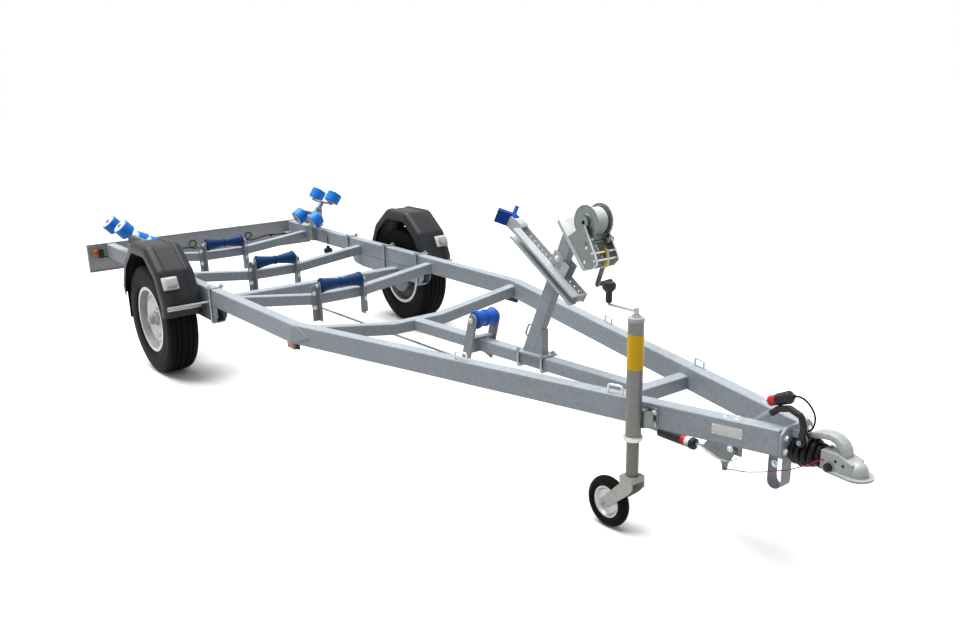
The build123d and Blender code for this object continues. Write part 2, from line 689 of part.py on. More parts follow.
def cradle_roller(word, end, fore):
    """Polyurethane roller with dished ends, on a cradle's stub axle."""
    half, r = cradle_roller_w / 2, cradle_roller_r
    profile = [(pin_r + run_fit, -half), (r - 22, -half), (r - 20, -half + 4), (r - 10, -half + 4), (r - 8, -half),
               (r - 4, -half), (r, -half + 4), (r, half - 4), (r - 4, half), (r - 8, half), (r - 10, half - 4),
               (r - 20, half - 4), (r - 22, half), (pin_r + run_fit, half)]
    turned = Rot(90, 0, 0) * revolve(outline(profile), axis=Axis.Y)
    angle = cradle_tilt[word] + end * cradle_vee
    return tilt_plane(word, angle, end * cradle_reach) * Pos(fore * cradle_span / 2, 0, 0) * turned


for word in named:
    put(f"cradle_{word}", cradle(word))
    for end, end_word in ((1, "outer"), (-1, "inner")):
        for fore, fore_word in ((1, "front"), (-1, "rear")):
            put(f"cradle_roller_{word}_{end_word}_{fore_word}", cradle_roller(word, end, fore))

# a post on each rail's inner face, with a yoke and pivot pin above the rail
half_post = cradle_post_w / 2
post_in = rail_inner - cradle_post_d
link_sweep = hypot(link_in + link_t, link_h / 2) + side_gap      # room that the links need about the pivot


def yoke(word):
    """Post with a slotted yoke, drawn for the right and mirrored for the left."""
    y, z = -cradle_y[word], cradle_z[word]
    shoulder = z - link_sweep
    face = outline([(-rail_inner, rail_low + 10), (-rail_inner, rail_top + 3), (y - 15, rail_top + 12), (y - 15, z + 4),
                    (y - 8, z + 15), (y + 8, z + 15), (y + 15, z + 4), (y + 15, shoulder),
                    (-post_in, min(rail_top + 22, shoulder - 4)), (-post_in, rail_low + 10)])
    body = prism_yz(face, cradle_x - half_post, cradle_x + half_post)
    body -= block(cradle_x - cradle_arm_w / 2 - 2, cradle_x + cradle_arm_w / 2 + 2, -rail_outer - 40,
                  -rail_inner + 60, z - 34, z + 60)
    body -= block(cradle_x - half_post + thin, cradle_x + half_post - thin, -rail_inner - 1, -post_in - thin,
                  rail_low, rail_top + 14)
    body = body if named[word] < 0 else mirrored(body)
    return body + pivot_rod(word, half_post + 12, cradle_pin_r)


brackets += [yoke(word) for word in named]
put("roller_brackets", *brackets)

# ================= winch post =================
post_dir = Vector(sin(radians(post_lean)), 0, cos(radians(post_lean)))
keel_lift = atan(keel_rise)
fall = radians(winch_fall)
w_along = Vector(cos(fall), 0, -sin(fall))
w_up = Vector(sin(fall), 0, cos(fall))
w_origin = Vector(winch_x, 0, winch_z)


def plate_on_keel(x0, x1, half, t):
    """Flat plate lying along the keel beam's top."""
    lift = seat / cos(keel_lift)
    z0, z1 = keel_top_at(x0) + lift, keel_top_at(x1) + lift
    return prism_xz(outline([(x0, z0), (x1, z1), (x1, z1 + t), (x0, z0 + t)]), -half, half)


foot = Vector(post_foot_x, 0, keel_top_at(post_foot_x) + seat + plate - 1)
reach = (w_origin - foot).dot(w_up) / post_dir.dot(w_up)
post = box_tube(tuple(foot - post_dir * 60), tuple(foot + post_dir * (reach + 80)), post_w, post_d, post_wall, 6)
post = keep_side(post, tuple(foot), (-sin(keel_lift), 0, cos(keel_lift)), 1)
post = keep_side(post, tuple(w_origin - w_up * (plate + seat)), tuple(w_up), -1)
base = plate_on_keel(base_x[0], base_x[1], base_w / 2, plate)


def post_face_x(z, front):
    """Where the post's front or rear face lies at a height."""
    half = post_d / 2 / cos(radians(post_lean))
    return post_foot_x + (z - foot.Z) * tan(radians(post_lean)) + (half if front else -half)


stub_low = foot.Z
stub = prism_xz(outline([(post_face_x(stub_low, True) - 12, stub_low), (stub_front_x, stub_low), (stub_front_x, stub_top_z),
                         (post_face_x(stub_top_z, True) - 2, stub_top_z)]), -post_w / 2, post_w / 2)
stub -= prism_xz(outline([(post_face_x(stub_low, True) - 2, stub_low + 0.5), (stub_front_x - 5, stub_low + 0.5),
                          (stub_front_x - 5, stub_top_z - 4), (post_face_x(stub_top_z - 4, True) - 2, stub_top_z - 4)]),
                 -post_w / 2 + 4, post_w / 2 - 4)
stub -= extrude(section_plane(tuple(foot - post_dir * 80), tuple(post_dir)) * Rectangle(post_w + 20, post_d - 1), 400)
hoop_r = 4.5
hoop_z = [549.0, 605.0]
hoop_out = 32.0
hoop_pts = [(post_face_x(hoop_z[0], False) + 3, 0, hoop_z[0]), (post_face_x(hoop_z[0], False) - hoop_out, 0, hoop_z[0]),
            (post_face_x(hoop_z[1], False) - hoop_out, 0, hoop_z[1]), (post_face_x(hoop_z[1], False) + 3, 0, hoop_z[1])]
hoop = sweep(Plane(origin=hoop_pts[0], z_dir=(-1, 0, 0)) * Circle(hoop_r), path=FilletPolyline(*hoop_pts, radius=9))
for x in keel_clamp_x:
    for side in both:
        base -= Pos(x, side * (beam / 2 + rod_off), keel_top_at(x)) * Cylinder(clamp_rod_r + seat, 60)
put("winch_post", base + post + whole(stub, (stub_front_x - 20, 0, 540)) + hoop)

for x in keel_clamp_x:
    top = keel_top_at(x) + keel_rise * 10 + plate
    rail_clamps.append(u_bolt(x, -beam / 2, beam / 2, keel_top_at(x) - beam - 1.5, top, 1.0, False))
put("clamp_bolts", *rail_clamps)

# bow arm: two perforated channels on the post's sides, with the clamp plates that hold them to it
arm_dir = Vector(cos(radians(arm_fall)), 0, -sin(radians(arm_fall)))
arm_up = Vector(sin(radians(arm_fall)), 0, cos(radians(arm_fall)))
arm_end = Vector(arm_rear[0], 0, arm_rear[1])


def arm_prism(face, y0, y1):
    """Outline along and above the bow arm, as thick as y0 to y1."""
    plane = Plane(origin=arm_end, x_dir=arm_dir, z_dir=(0, -1, 0))
    return extrude(plane.offset(-y1) * face, y1 - y0)


def arm_rect(a0, a1, n0, n1):
    return outline([(a0, n0), (a1, n0), (a1, n1), (a0, n1)])


hole_at = [76 + 40 * k for k in range(11)]
cross_at = (foot - arm_end).dot(arm_dir) + (foot - arm_end).dot(arm_up) * -post_dir.dot(arm_dir) / post_dir.dot(arm_up)
half_d = arm_depth / 2
inner = post_w / 2 + seat


def clamp_ear(side):
    """Lug above the arm, through which the clamp's upper bolt goes."""
    at = cross_at + 26
    return arm_prism(arm_rect(at - 34, at + 34, half_d - 2, half_d + 62), *sorted((side * inner, side * (inner + 5))))


# right: a channel open to the outside, with turned lips and slots
channel = arm_prism(arm_rect(channel_start, arm_len, -half_d, half_d), -inner - arm_sheet, -inner) + clamp_ear(-1)
for edge in both:
    n0, n1 = sorted((edge * half_d, edge * (half_d - arm_sheet)))
    channel += arm_prism(arm_rect(channel_start, arm_len, n0, n1), -inner - arm_flange, -inner)
    n0, n1 = sorted((edge * half_d, edge * (half_d - 11)))
    channel += arm_prism(arm_rect(channel_start, arm_len, n0, n1), -inner - arm_flange, -inner - arm_flange + arm_sheet)
for a in hole_at:
    if abs(a - cross_at) > 52:
        channel -= arm_prism(Pos(a, 0) * SlotOverall(24, 12), -inner - 5, -inner + 1)

# left: a flat bar with a row of round holes
bar = arm_prism(arm_rect(0, arm_len, -half_d, half_d), inner, inner + thin) + clamp_ear(1)
for k in range(int((arm_len - 30) / arm_hole_step)):
    a = 26 + arm_hole_step * k
    if abs(a - cross_at) > 52:
        bar -= arm_prism(Pos(a, 0) * Circle(arm_hole_r), inner - 1, inner + thin + 1)
front_tie = arm_prism(arm_rect(arm_len - 12, arm_len - 4, -half_d + 6, half_d - 6), -inner - 1, inner + 1)

# two cheeks hold the bow stop's stem at the arm's rear end, with a cross plate and a rounded cap behind it
cheek_in = stop_body + seat
cheek_side = outline([(stop_neck + 2, -26), (stop_neck + 2, 24), (stop_neck + 10, 30), (channel_start - 2, 30),
                      (channel_start + 13, half_d - 2), (channel_start + 13, -half_d + 2), (0, -half_d - 4)])
holder = arm_prism(cheek_side, cheek_in, cheek_in + stop_cheek_t) + arm_prism(cheek_side, -cheek_in - stop_cheek_t, -cheek_in)
holder += arm_prism(arm_rect(stop_body_front + seat, stop_body_front + 6, -26, 26), -cheek_in - 1, cheek_in + 1)
cap_face = outline([(stop_body_front + 5, 28), (stop_body_front + 5, 32), (10, 38), (channel_start - 8, 38),
                    (channel_start + 6, 32), (channel_start + 6, 23.5)])
cap = arm_prism(cap_face, -cheek_in - stop_cheek_t, cheek_in + stop_cheek_t)
put("bow_arm", channel + bar + front_tie + holder + cap)

# bow stop: a rubber block on a stem, whose two flared wings take the boat's stem between them
stop_plan = outline([(stop_body_front, -stop_body), (stop_neck, -stop_body), (stop_tip[0], -stop_tip[1]),
                     (stop_mouth[0], -stop_mouth[1]), (stop_apex, 0), stop_mouth, stop_tip, (stop_neck, stop_body),
                     (stop_body_front, stop_body)])
stop_plane = Plane(origin=arm_end - arm_up * stop_h / 2, x_dir=arm_dir, z_dir=arm_up)
stop = extrude(stop_plane * stop_plan, stop_h)
put("bow_stop", stop)

# ================= winch =================
winch_face = Plane(origin=w_origin, x_dir=w_along, z_dir=(0, -1, 0))


def winch_prism(face, y0, y1):
    """Outline along and above the winch plate, as thick as y0 to y1."""
    return extrude(winch_face.offset(-y1) * face, y1 - y0)


side_t = 4.0
pinion_r = gear_module * pinion_teeth / 2
gear_r = gear_module * gear_teeth / 2
centres = pinion_r + gear_r
crank_above = drum_above - crank_drop
crank_along = drum_along + (centres ** 2 - crank_drop ** 2) ** 0.5
half_l = winch_plate_l / 2
bed = winch_prism(outline([(-half_l, -plate), (half_l, -plate), (half_l, 0), (-half_l, 0)]),
                  -winch_plate_w / 2, winch_plate_w / 2)
cheek = outline([(drum_along - 36, -1), (drum_along - 30, 74), (drum_along - 16, drum_above + 10),
                 (drum_along, drum_above + 17), (drum_along + 16, drum_above + 10), (half_l - 20, 84),
                 (half_l + 8, 62), (half_l + 2, 10), (half_l - 12, -1)])
for side in both:
    ys = sorted((side * winch_side_half, side * (winch_side_half - side_t)))
    bed += winch_prism(cheek, *ys)
bed += winch_prism(outline([(half_l - 6, 30), (half_l + 4, 30), (half_l + 4, 34), (half_l - 6, 34)]), -winch_side_half, winch_side_half)
bed += winch_prism(Pos(drum_along, drum_above) * Circle(9.0), -winch_side_half - 9, winch_side_half + 9)
bed -= winch_prism(Pos(crank_along, crank_above) * Circle(crank_shaft_r + run_fit), -winch_side_half - 20,
                   winch_side_half + 20)
put("winch_frame", bed)


def gear(teeth, bore):
    """Spur gear outline with straight-flanked teeth."""
    pitch = gear_module * teeth / 2
    root, tip = pitch - 1.25 * gear_module, pitch + 0.95 * gear_module
    step = 2 * pi / teeth
    points = []
    for k in range(teeth):
        for share, r in ((-0.30, root), (-0.235, pitch), (-0.12, tip), (0.12, tip), (0.235, pitch), (0.30, root)):
            a = step * (k + share)
            points.append((r * cos(a), r * sin(a)))
    return outline(points) - Circle(bore)


mesh_turn = degrees(atan2(crank_above - drum_above, crank_along - drum_along))
big = Pos(drum_along, drum_above) * Rot(0, 0, mesh_turn) * gear(gear_teeth, 9.0 + run_fit)
small = Pos(crank_along, crank_above) * Rot(0, 0, mesh_turn + 180 + 180 / pinion_teeth) * gear(pinion_teeth, 1.0)
ring = Pos(drum_along, drum_above) * (Circle(flange_r) - Circle(9.0 + run_fit))
barrel = Pos(drum_along, drum_above) * (Circle(barrel_r) - Circle(9.0 + run_fit))
drum = winch_prism(ring, -flange_half - 3, -flange_half) + winch_prism(ring, flange_half, flange_half + 3)
drum += winch_prism(barrel, -winch_side_half + side_t + 2, winch_side_half - side_t - 2)
drum += winch_prism(big, gear_y - gear_w / 2, gear_y + gear_w / 2)
put("winch_drum", drum)

rope = winch_prism(Pos(drum_along, drum_above) * (Circle(rope_r) - Circle(barrel_r + seat)), -flange_half + 1,
                   flange_half - 1)
put("winch_rope", rope)

crank_out = winch_side_half + 22
shaft = winch_prism(Pos(crank_along, crank_above) * Circle(crank_shaft_r), -winch_side_half - 10, crank_out + 8)
shaft += winch_prism(small, gear_y - gear_w / 2 - 1, gear_y + gear_w / 2 + 1)
shaft += winch_prism(Pos(crank_along, crank_above) * Circle(13.0), winch_side_half + 6, crank_out + 8)
crank_turn = radians(crank_angle)
crank_tip = (crank_along + crank_len * cos(crank_turn), crank_above + crank_len * sin(crank_turn))
lever_face = Pos((crank_along + crank_tip[0]) / 2, (crank_above + crank_tip[1]) / 2) * Rot(0, 0, degrees(crank_turn)) \
    * SlotOverall(crank_len + 24, 24)
shaft += winch_prism(lever_face, crank_out, crank_out + 6)
grip_len = 84.0
shaft += winch_prism(Pos(*crank_tip) * Circle(5.0), crank_out, crank_out + grip_len + 8)
put("winch_crank", shaft)
grip = winch_prism(Pos(*crank_tip) * (Circle(13.0) - Circle(5.0 + seat)), crank_out + 7, crank_out + 5 + grip_len)
put("crank_grip", grip)

# ================= light board =================
board_low = board_top - board_h
board = block(board_x - board_d / 2, board_x + board_d / 2, -board_half, board_half, board_low, board_top)
board -= block(board_x - board_d / 2 + 3, board_x + board_d, -board_half + 3, board_half - 3, board_low + 3, board_top - 3)
carry_w = 46.0
for side in both:
    y0, y1 = sorted((side * (rail_inner - seat), side * (rail_inner - carry_w)))
    board += block(board_x - board_d / 2 + 2, board_x + board_d / 2 + 60, y0, y1, rail_low + 12, rail_low + 18)
put("light_board", board)
lamps = []
for side in both:
    y0, y1 = sorted((side * (board_half - 22), side * (board_half - 232)))
    lamp = block(tail_x, board_x - board_d / 2 - seat, y0, y1, board_low + 30, board_low + 134)
    lamps.append(fillet(lamp.edges().filter_by(Axis.X), 10))
    y0, y1 = sorted((side * (board_half - 30), side * (board_half - 106)))
    marker = block(board_x - board_d / 2 + 3 + seat, board_x + board_d / 2 + 34, y0, y1, board_top - 100, board_top - 34)
    lamps.append(fillet(marker.edges().filter_by(Axis.X), 8))
put("rear_lamps", *lamps)

# ================= coupling =================
# overrun housing: a tube between the drawbar rails with a bolted saddle, and a plate across their ends
house_r = shaft_r + 9
house_rear_x = 3520.0
housing = rod((house_rear_x, 0, hitch_z), (bar_front_x - 40, 0, hitch_z), house_r)
housing += rod((house_rear_x, 0, hitch_z), (bar_front_x + front_plate_t, 0, hitch_z), shaft_r + 4.4)
front_face = outline([(-front_plate_w / 2, rail_low - 2), (-front_plate_w / 2, rail_top - 14),
                      (-front_plate_w / 2 + 26, rail_top + 8), (front_plate_w / 2 - 26, rail_top + 8),
                      (front_plate_w / 2, rail_top - 14), (front_plate_w / 2, rail_low - 2), (40, rail_low - 16),
                      (-40, rail_low - 16)])
housing += prism_yz(front_face, bar_front_x + seat, bar_front_x + front_plate_t)
saddle_x0, saddle_x1 = 3548.0, 3640.0
saddle = block(saddle_x0, saddle_x1, -150, 150, rail_top + seat, rail_top + 8)
saddle = saddle & prism_xy(outline([(saddle_x0, -bar_outer_at(saddle_x0) + 6), (saddle_x1, -bar_outer_at(saddle_x1) + 6),
                                    (saddle_x1, bar_outer_at(saddle_x1) - 6), (saddle_x0, bar_outer_at(saddle_x0) - 6)]),
                           rail_top - 20, rail_top + 40)
housing += saddle
housing += block(saddle_x0 + 20, saddle_x1 - 20, -14, 14, hitch_z + 10, rail_top + 4)
strap_x = bar_front_x - 50
strap_w = 62.0
strap = block(strap_x - strap_w / 2, strap_x + strap_w / 2, -30, 30, tongue_low_z, hitch_z)
strap = fillet([e for e in strap.edges().filter_by(Axis.Y) if e.center().Z < hitch_z - 40], 22)
hollow = block(strap_x - strap_w / 2 + 6, strap_x + strap_w / 2 - 6, -40, 40, tongue_low_z + 6, hitch_z - 40)
strap -= fillet([e for e in hollow.edges().filter_by(Axis.Y) if e.center().Z < hitch_z - 60], 16)
housing += strap
lug_x = [bar_front_x + front_plate_t - 2, bar_front_x + front_plate_t + lug_len]
lug = block(*lug_x, *lug_y, hitch_z + lug_z[0], hitch_z + lug_z[1])
lever_pin = (lug_x[1] - 16, hitch_z + lever_pin_above)
housing += lug + disc_y(*lever_pin, lever_y - lever_r - 2, lug_y[1] - 1, 6.0)
hanger = block(3522, 3562, brake_y + 5, brake_y + 13, 352, hitch_z - 20)
housing += hanger
housing -= rod((bar_front_x - 60, 0, hitch_z), (bar_front_x + 60, 0, hitch_z), shaft_r + run_fit)
put("overrun_housing", housing)

bellows_x0 = bar_front_x + front_plate_t + seat
bellows_x1 = head_rear_x - seat
folds = 5
fold_step = (bellows_x1 - bellows_x0) / folds
profile = [(bellows_x0, shaft_r + seat)]
for k in range(folds):
    x = bellows_x0 + k * fold_step
    big_r = 45 - 3.0 * k
    profile += [(x, big_r - 10), (x + fold_step * 0.3, big_r), (x + fold_step * 0.7, big_r)]
profile += [(bellows_x1, 32), (bellows_x1, shaft_r + seat)]
boot = revolve(Plane.XZ * outline(profile), axis=Axis.X)
put("bellows", Pos(0, 0, hitch_z) * boot)

# coupling head: pressed body with a domed ball socket, a rolled lip and the overrun shaft
head_mid = (head_rear_x + ball_x) / 2
body_top = outline([(head_rear_x, -head_half), (ball_x, -dome_r), (ball_x, dome_r), (head_rear_x, head_half)])
head = prism_xy(body_top, head_bottom, head_top)
side_cut = outline([(head_rear_x - 5, head_bottom), (nose_x, head_bottom), (nose_x, ball_z + 12), (ball_x, ball_z + dome_r - 6),
                    (ball_x - 60, head_top), (head_rear_x - 5, head_top)])
head = head & prism_xz(side_cut, -80, 80)
dome = Pos(ball_x, 0, ball_z) * Sphere(dome_r)
dome += Pos(ball_x, 0, (head_bottom + ball_z) / 2) * Cylinder(dome_r, ball_z - head_bottom)
dome = dome & block(ball_x - 80, ball_x + 80, -80, 80, head_bottom, ball_z + dome_r)
head += dome
rim_plan = outline([(head_rear_x + 20, -head_half - lip + 8), (ball_x, -dome_r - lip), (ball_x, dome_r + lip),
                    (head_rear_x + 20, head_half + lip - 8)])
rim_face = prism_xy(rim_plan, head_bottom, head_bottom + lip_t)
rim_face += Pos(ball_x, 0, head_bottom + lip_t / 2) * Cylinder(dome_r + lip, lip_t)
head += rim_face
head += rod((bar_front_x - 40, 0, hitch_z), (head_rear_x + 30, 0, hitch_z), shaft_r)
socket_r = ball_r + ball_clear
head -= Pos(ball_x, 0, ball_z) * Sphere(socket_r)
head -= Pos(ball_x, 0, (head_bottom + ball_z) / 2 - 5) * Cylinder(socket_r, ball_z - head_bottom + 10)
put("coupling_head", head)

# coupling handle: a strap that rises from the head and arches back over the bellows
handle_pts = [(3962, head_top - 16), (3972, head_top + 6), (3950, head_top + 44), (3905, head_top + 66), (3842, head_top + 70),
              (3842, head_top + 60), (3902, head_top + 56), (3942, head_top + 36), (3960, head_top + 4), (3944, head_top - 16)]
handle = prism_xz(outline(handle_pts), -17, 17)
handle -= prism_xz(outline([(3930, head_top - 20), (3990, head_top - 20), (3990, head_top + seat), (3930, head_top + seat)]), -20, 20)
put("coupling_handle", handle)

# handbrake lever: bent bar beside the bellows that arches back to its grip
lever_pts = [(lever_pin[0], lever_y, lever_pin[1] + 8), (lever_pin[0] + 7, lever_y, 564), (3828, lever_y, 602),
             (3781, lever_y, 617), (3736, lever_y, 604), (3708, lever_y, 580)]
lever_route = FilletPolyline(*lever_pts, radius=20)
lever = sweep(Plane(origin=lever_pts[0], z_dir=lever_route % 0) * Circle(lever_r), path=lever_route)
lever += disc_y(*lever_pin, lever_y - 7, lever_y + 7, 17)
lever -= disc_y(*lever_pin, lever_y - 20, lever_y + 20, 6.0 + run_fit)
put("handbrake_lever", lever)

# brake linkage: spring tube, curved lever plate, hanger bolt and the long rod to the axle
spring_x0, spring_x1, spring_z = 3165.0, 3345.0, 338.0
linkage = rod((spring_x0, brake_y, spring_z), (spring_x1, brake_y, spring_z), 21)
linkage += rod((spring_x1 - 5, brake_y, spring_z), (3430, brake_y, spring_z + 14), 7)
linkage += prism_xz(outline([(3400, 326), (3470, 322), (3484, 304), (3486, 281), (3503, 281), (3508, 308), (3524, 336),
                             (3546, 372), (3534, 402), (3430, 396), (3396, 362)]), brake_y - 6, brake_y + 4.7)
linkage += rod((3526, brake_y - 14, 380), (3526, brake_y + 4.7, 380), 9)
rod_z = spring_z
axle_rod_x = axle_tube_x + axle_tube_w / 2 + 30
linkage += rod((axle_rod_x, brake_y, rod_z - 40), (spring_x0 + 5, brake_y, rod_z), 6)
put("brake_linkage", linkage)

# ================= jockey wheel =================
jy, jx = -bar_outer_at(jockey_x) - jockey_out, jockey_x
outer_tube = Pos(jx, jy, (jockey_low_z + jockey_top_z) / 2) * Cylinder(jockey_tube_r, jockey_top_z - jockey_low_z)
outer_tube += Pos(jx, jy, jockey_low_z + 6) * Cylinder(jockey_tube_r + 6, 12)
bush_h = 30.0
cavity = [jockey_low_z + bush_h, jockey_top_z - 8]
outer_tube -= Pos(jx, jy, sum(cavity) / 2) * Cylinder(jockey_tube_r - jockey_wall, cavity[1] - cavity[0])
outer_tube -= Pos(jx, jy, jockey_low_z) * Cylinder(jockey_inner_r + 0.04, 2 * bush_h + 2)
put("jockey_outer_tube", outer_tube)

clamp_low, clamp_high = rail_low + 4, rail_top - 14
face_x = [jx - 36, jx + 58]
rail_face = [(x, -bar_outer_at(x) - seat) for x in face_x]
bracket_plan = outline([rail_face[0], rail_face[1], (face_x[1], rail_face[1][1] - plate), (jx + 30, jy + 18),
                        (jx + 30, jy), (jx - 30, jy), (jx - 30, jy + 18), (face_x[0], rail_face[0][1] - plate)])
jockey_bracket = prism_xy(bracket_plan, clamp_low, clamp_high)
jockey_bracket += Pos(jx, jy, (clamp_low + clamp_high) / 2) * Cylinder(jockey_tube_r + 9, clamp_high - clamp_low)
jockey_bracket -= Pos(jx, jy, (clamp_low + clamp_high) / 2) * Cylinder(jockey_tube_r + seat, 300)
put("jockey_bracket", jockey_bracket)

boss_top = jockey_top_z + 34
crank_shape = Pos(jx, jy, jockey_top_z + 5 + seat) * Cylinder(17, 10)
crank_shape += Pos(jx, jy, jockey_top_z + 22) * Cylinder(10, 26)
crank_shape += rod((jx, jy, boss_top - 10), (jx - jockey_crank_len + 8, jy, boss_top - 12), 5)
knob_x = jx - jockey_crank_len
crank_shape += rod((knob_x + 8, jy, boss_top - 14), (knob_x + 8, jy, boss_top + 62), 5)
put("jockey_crank", crank_shape)
knob = [(5 + seat, -5), (10, -5), (13, 2), (13, 34), (26, 50), (27, 62), (22, 72), (0, 74), (0, 64), (5 + seat, 64)]
knob_z = boss_top
put("jockey_knob", Pos(knob_x + 8, jy, knob_z) * revolve(Plane.XZ * outline(knob), axis=Axis.Z))

inner_low = fork_pivot_z + 28
inner_top = jockey_top_z - 170
inner_tube = Pos(jx, jy, (inner_low + inner_top) / 2) * Cylinder(jockey_inner_r, inner_top - inner_low)
inner_tube += Pos(jx, jy, fork_pivot_z + 6) * Cylinder(9, 46)
put("jockey_inner_tube", inner_tube)

wheel_x = jx - jockey_trail
cheek_in = jockey_wheel_w / 2 + 6
fork = Pos(jx, jy, fork_pivot_z + 14) * Box(64, 2 * cheek_in + 10, 24)
for side in both:
    y0, y1 = sorted((jy + side * cheek_in, jy + side * (cheek_in + thin)))
    fork += prism_xz(outline([(jx - 32, fork_pivot_z + 26), (jx + 32, fork_pivot_z + 26), (jx + 34, fork_pivot_z - 20),
                              (jx + 6, fork_pivot_z - 52), (wheel_x + 10, jockey_wheel_r - 20),
                              (wheel_x - 14, jockey_wheel_r - 12), (wheel_x - 14, jockey_wheel_r + 14),
                              (jx - 30, fork_pivot_z - 8)]), y0, y1)
fork += disc_y(wheel_x, jockey_wheel_r, jy - cheek_in - thin - 6, jy + cheek_in + thin + 6, pin_r)
fork -= Pos(jx, jy, fork_pivot_z + 14) * Cylinder(9 + run_fit, 60)
put("jockey_fork", fork)
jw = jockey_wheel_w / 2
tread_line = Polyline((66, -jw + 8), (72, -jw + 2)) + ThreePointArc((72, -jw + 2), (86, -jw), (96, -jw + 6))
tread_line += ThreePointArc((96, -jw + 6), (jockey_wheel_r, 0), (96, jw - 6)) + ThreePointArc((96, jw - 6), (86, jw), (72, jw - 2))
tread_line += Polyline((72, jw - 2), (66, jw - 8), (66, -jw + 8))
put("jockey_tyre", Pos(wheel_x, jy, jockey_wheel_r) * revolve(make_face(tread_line), axis=Axis.Y))
jockey_rim_line = [(pin_r + run_fit, -jw), (20, -jw), (24, -8), (50, -6), (58, -jw + 9), (66 - seat, -jw + 9), (66 - seat, jw - 9), (58, jw - 9),
                   (50, 6), (24, 8), (20, jw), (pin_r + run_fit, jw)]
put("jockey_rim", Pos(wheel_x, jy, jockey_wheel_r) * revolve(outline(jockey_rim_line), axis=Axis.Y))

# ================= plug and cables =================
plug_dir = Vector(cos(radians(plug_rise)), 0, sin(radians(plug_rise)))
plug_line = [(0, 0), (18, 0), (20, 4), (20, 33), (21, 35), (22, 60), (24, 66), (24, 90), (19, 97), (9, 101), (7, plug_len),
             (0, plug_len)]
plug_plane = Plane(origin=plug_rear, x_dir=(0, -1, 0), z_dir=plug_dir)
plug_body = revolve(Plane.XZ * outline(plug_line), axis=Axis.Z)
put("plug", plug_plane * plug_body)
plug_front = Vector(*plug_rear) + plug_dir * (plug_len + cable_seat)


def bend_radii(points):
    """Radius at each corner of a cord: nearly half of the shorter run goes into each arc."""
    spots = [Vector(*q) for q in points]
    found = []
    for before, corner, after in zip(spots, spots[1:], spots[2:]):
        run_in, run_out = corner - before, after - corner
        turn = radians(run_in.get_angle(run_out))
        found.append(0.45 * min(run_in.length, run_out.length) / tan(turn / 2))
    return found


def cord(name, points, r):
    """Round cord of straight runs joined by arcs, written as its own node."""
    radii = bend_radii(points)
    route = FilletPolyline(*points, radius=radii)
    solid = sweep(Plane(origin=points[0], z_dir=route % 0) * Circle(r), path=route)
    print(name, "length", round(route.length), "radii", [round(q) for q in radii],
          "volume over section x length", round(solid.volume / (pi * r * r * route.length), 4))
    put(name, solid)


# the lamps' cable, clipped along the light board with a small loop before each clip: Y and Z, then how far each
# point stands off the board's panel where the cable passes over itself
cable_x = board_x - board_d / 2 + 3 + seat + light_cable_r
lens_in = board_half - 106 - cable_seat
light_route = [(-lens_in, 452, 0), (-706, 437, 0), (-650, 426, 0), (-572, 444, 0), (-492, 452, 0), (-410, 472, 0),
               (-326, 466, 0), (-245, 442, 0), (-190, 434, 0), (-148, 430, 0), (-100, 428, 0), (-70, 449, 0),
               (-84, 480, 0), (-121, 478, 3), (-133, 446, 10), (-112, 420, 12), (-66, 422, 7), (0, 437, 0), (78, 432, 0),
               (156, 441, 0), (232, 446, 0), (290, 438, 0), (338, 436, 0), (372, 452, 0), (364, 484, 0), (326, 486, 3),
               (308, 456, 10), (330, 428, 12), (376, 424, 7), (440, 438, 0), (520, 446, 0), (600, 440, 0), (675, 438, 0),
               (720, 448, 0), (lens_in, 460, 0)]
cord("light_cable", [(cable_x + off, y, z) for y, z, off in light_route], light_cable_r)
cord("plug_cable", [(bar_front_x + front_plate_t + 2 * cable_seat, 50, 504), (3813, 43, 522), (3830, 31, 555), (3841, 12, 588), (3846, -14, 622),
                    (3835, -31, 650), (3812, -39, 666), tuple(plug_front)], plug_cable_r)
hook_side = brake_y - 6 - seat - breakaway_r
head_side = -head_half - 2.6
cord("breakaway_cable", [(3494, hook_side, 288), (3545, -34, 302), (3597, -39, 311), (3652, -45, 332), (3700, -50, 350),
                         (3745, -53, 372), (3790, -54, 388), (3830, -52, 412), (3868, -46, 434), (3900, -39, 460),
                         (3918, head_side, 466)], breakaway_r)
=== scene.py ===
import json
import math
import bpy
from mathutils import Matrix, Vector

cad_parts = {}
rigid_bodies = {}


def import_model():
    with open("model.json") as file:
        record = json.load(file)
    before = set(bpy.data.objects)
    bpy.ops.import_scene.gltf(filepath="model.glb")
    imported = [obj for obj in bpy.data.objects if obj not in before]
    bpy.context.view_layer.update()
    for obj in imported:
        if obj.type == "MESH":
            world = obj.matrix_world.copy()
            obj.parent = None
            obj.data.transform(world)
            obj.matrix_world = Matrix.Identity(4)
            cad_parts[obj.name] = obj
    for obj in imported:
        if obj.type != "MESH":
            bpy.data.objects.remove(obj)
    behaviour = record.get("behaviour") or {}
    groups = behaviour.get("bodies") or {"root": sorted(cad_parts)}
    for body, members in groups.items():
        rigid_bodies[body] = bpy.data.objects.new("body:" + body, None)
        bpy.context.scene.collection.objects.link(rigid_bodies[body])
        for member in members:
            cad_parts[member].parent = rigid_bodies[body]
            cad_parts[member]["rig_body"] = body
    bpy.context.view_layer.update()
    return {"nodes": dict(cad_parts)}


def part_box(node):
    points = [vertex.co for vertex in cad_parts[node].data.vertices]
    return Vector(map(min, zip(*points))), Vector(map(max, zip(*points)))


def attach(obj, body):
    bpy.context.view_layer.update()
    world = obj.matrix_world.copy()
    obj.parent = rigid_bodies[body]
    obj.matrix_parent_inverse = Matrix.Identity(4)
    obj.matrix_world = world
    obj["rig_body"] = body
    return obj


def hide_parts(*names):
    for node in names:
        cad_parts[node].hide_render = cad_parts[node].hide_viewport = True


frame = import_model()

nodes = frame["nodes"]
midX = 1287.0        # the model's origin lies this far ahead of the axle, mm
both = (-1, 1)
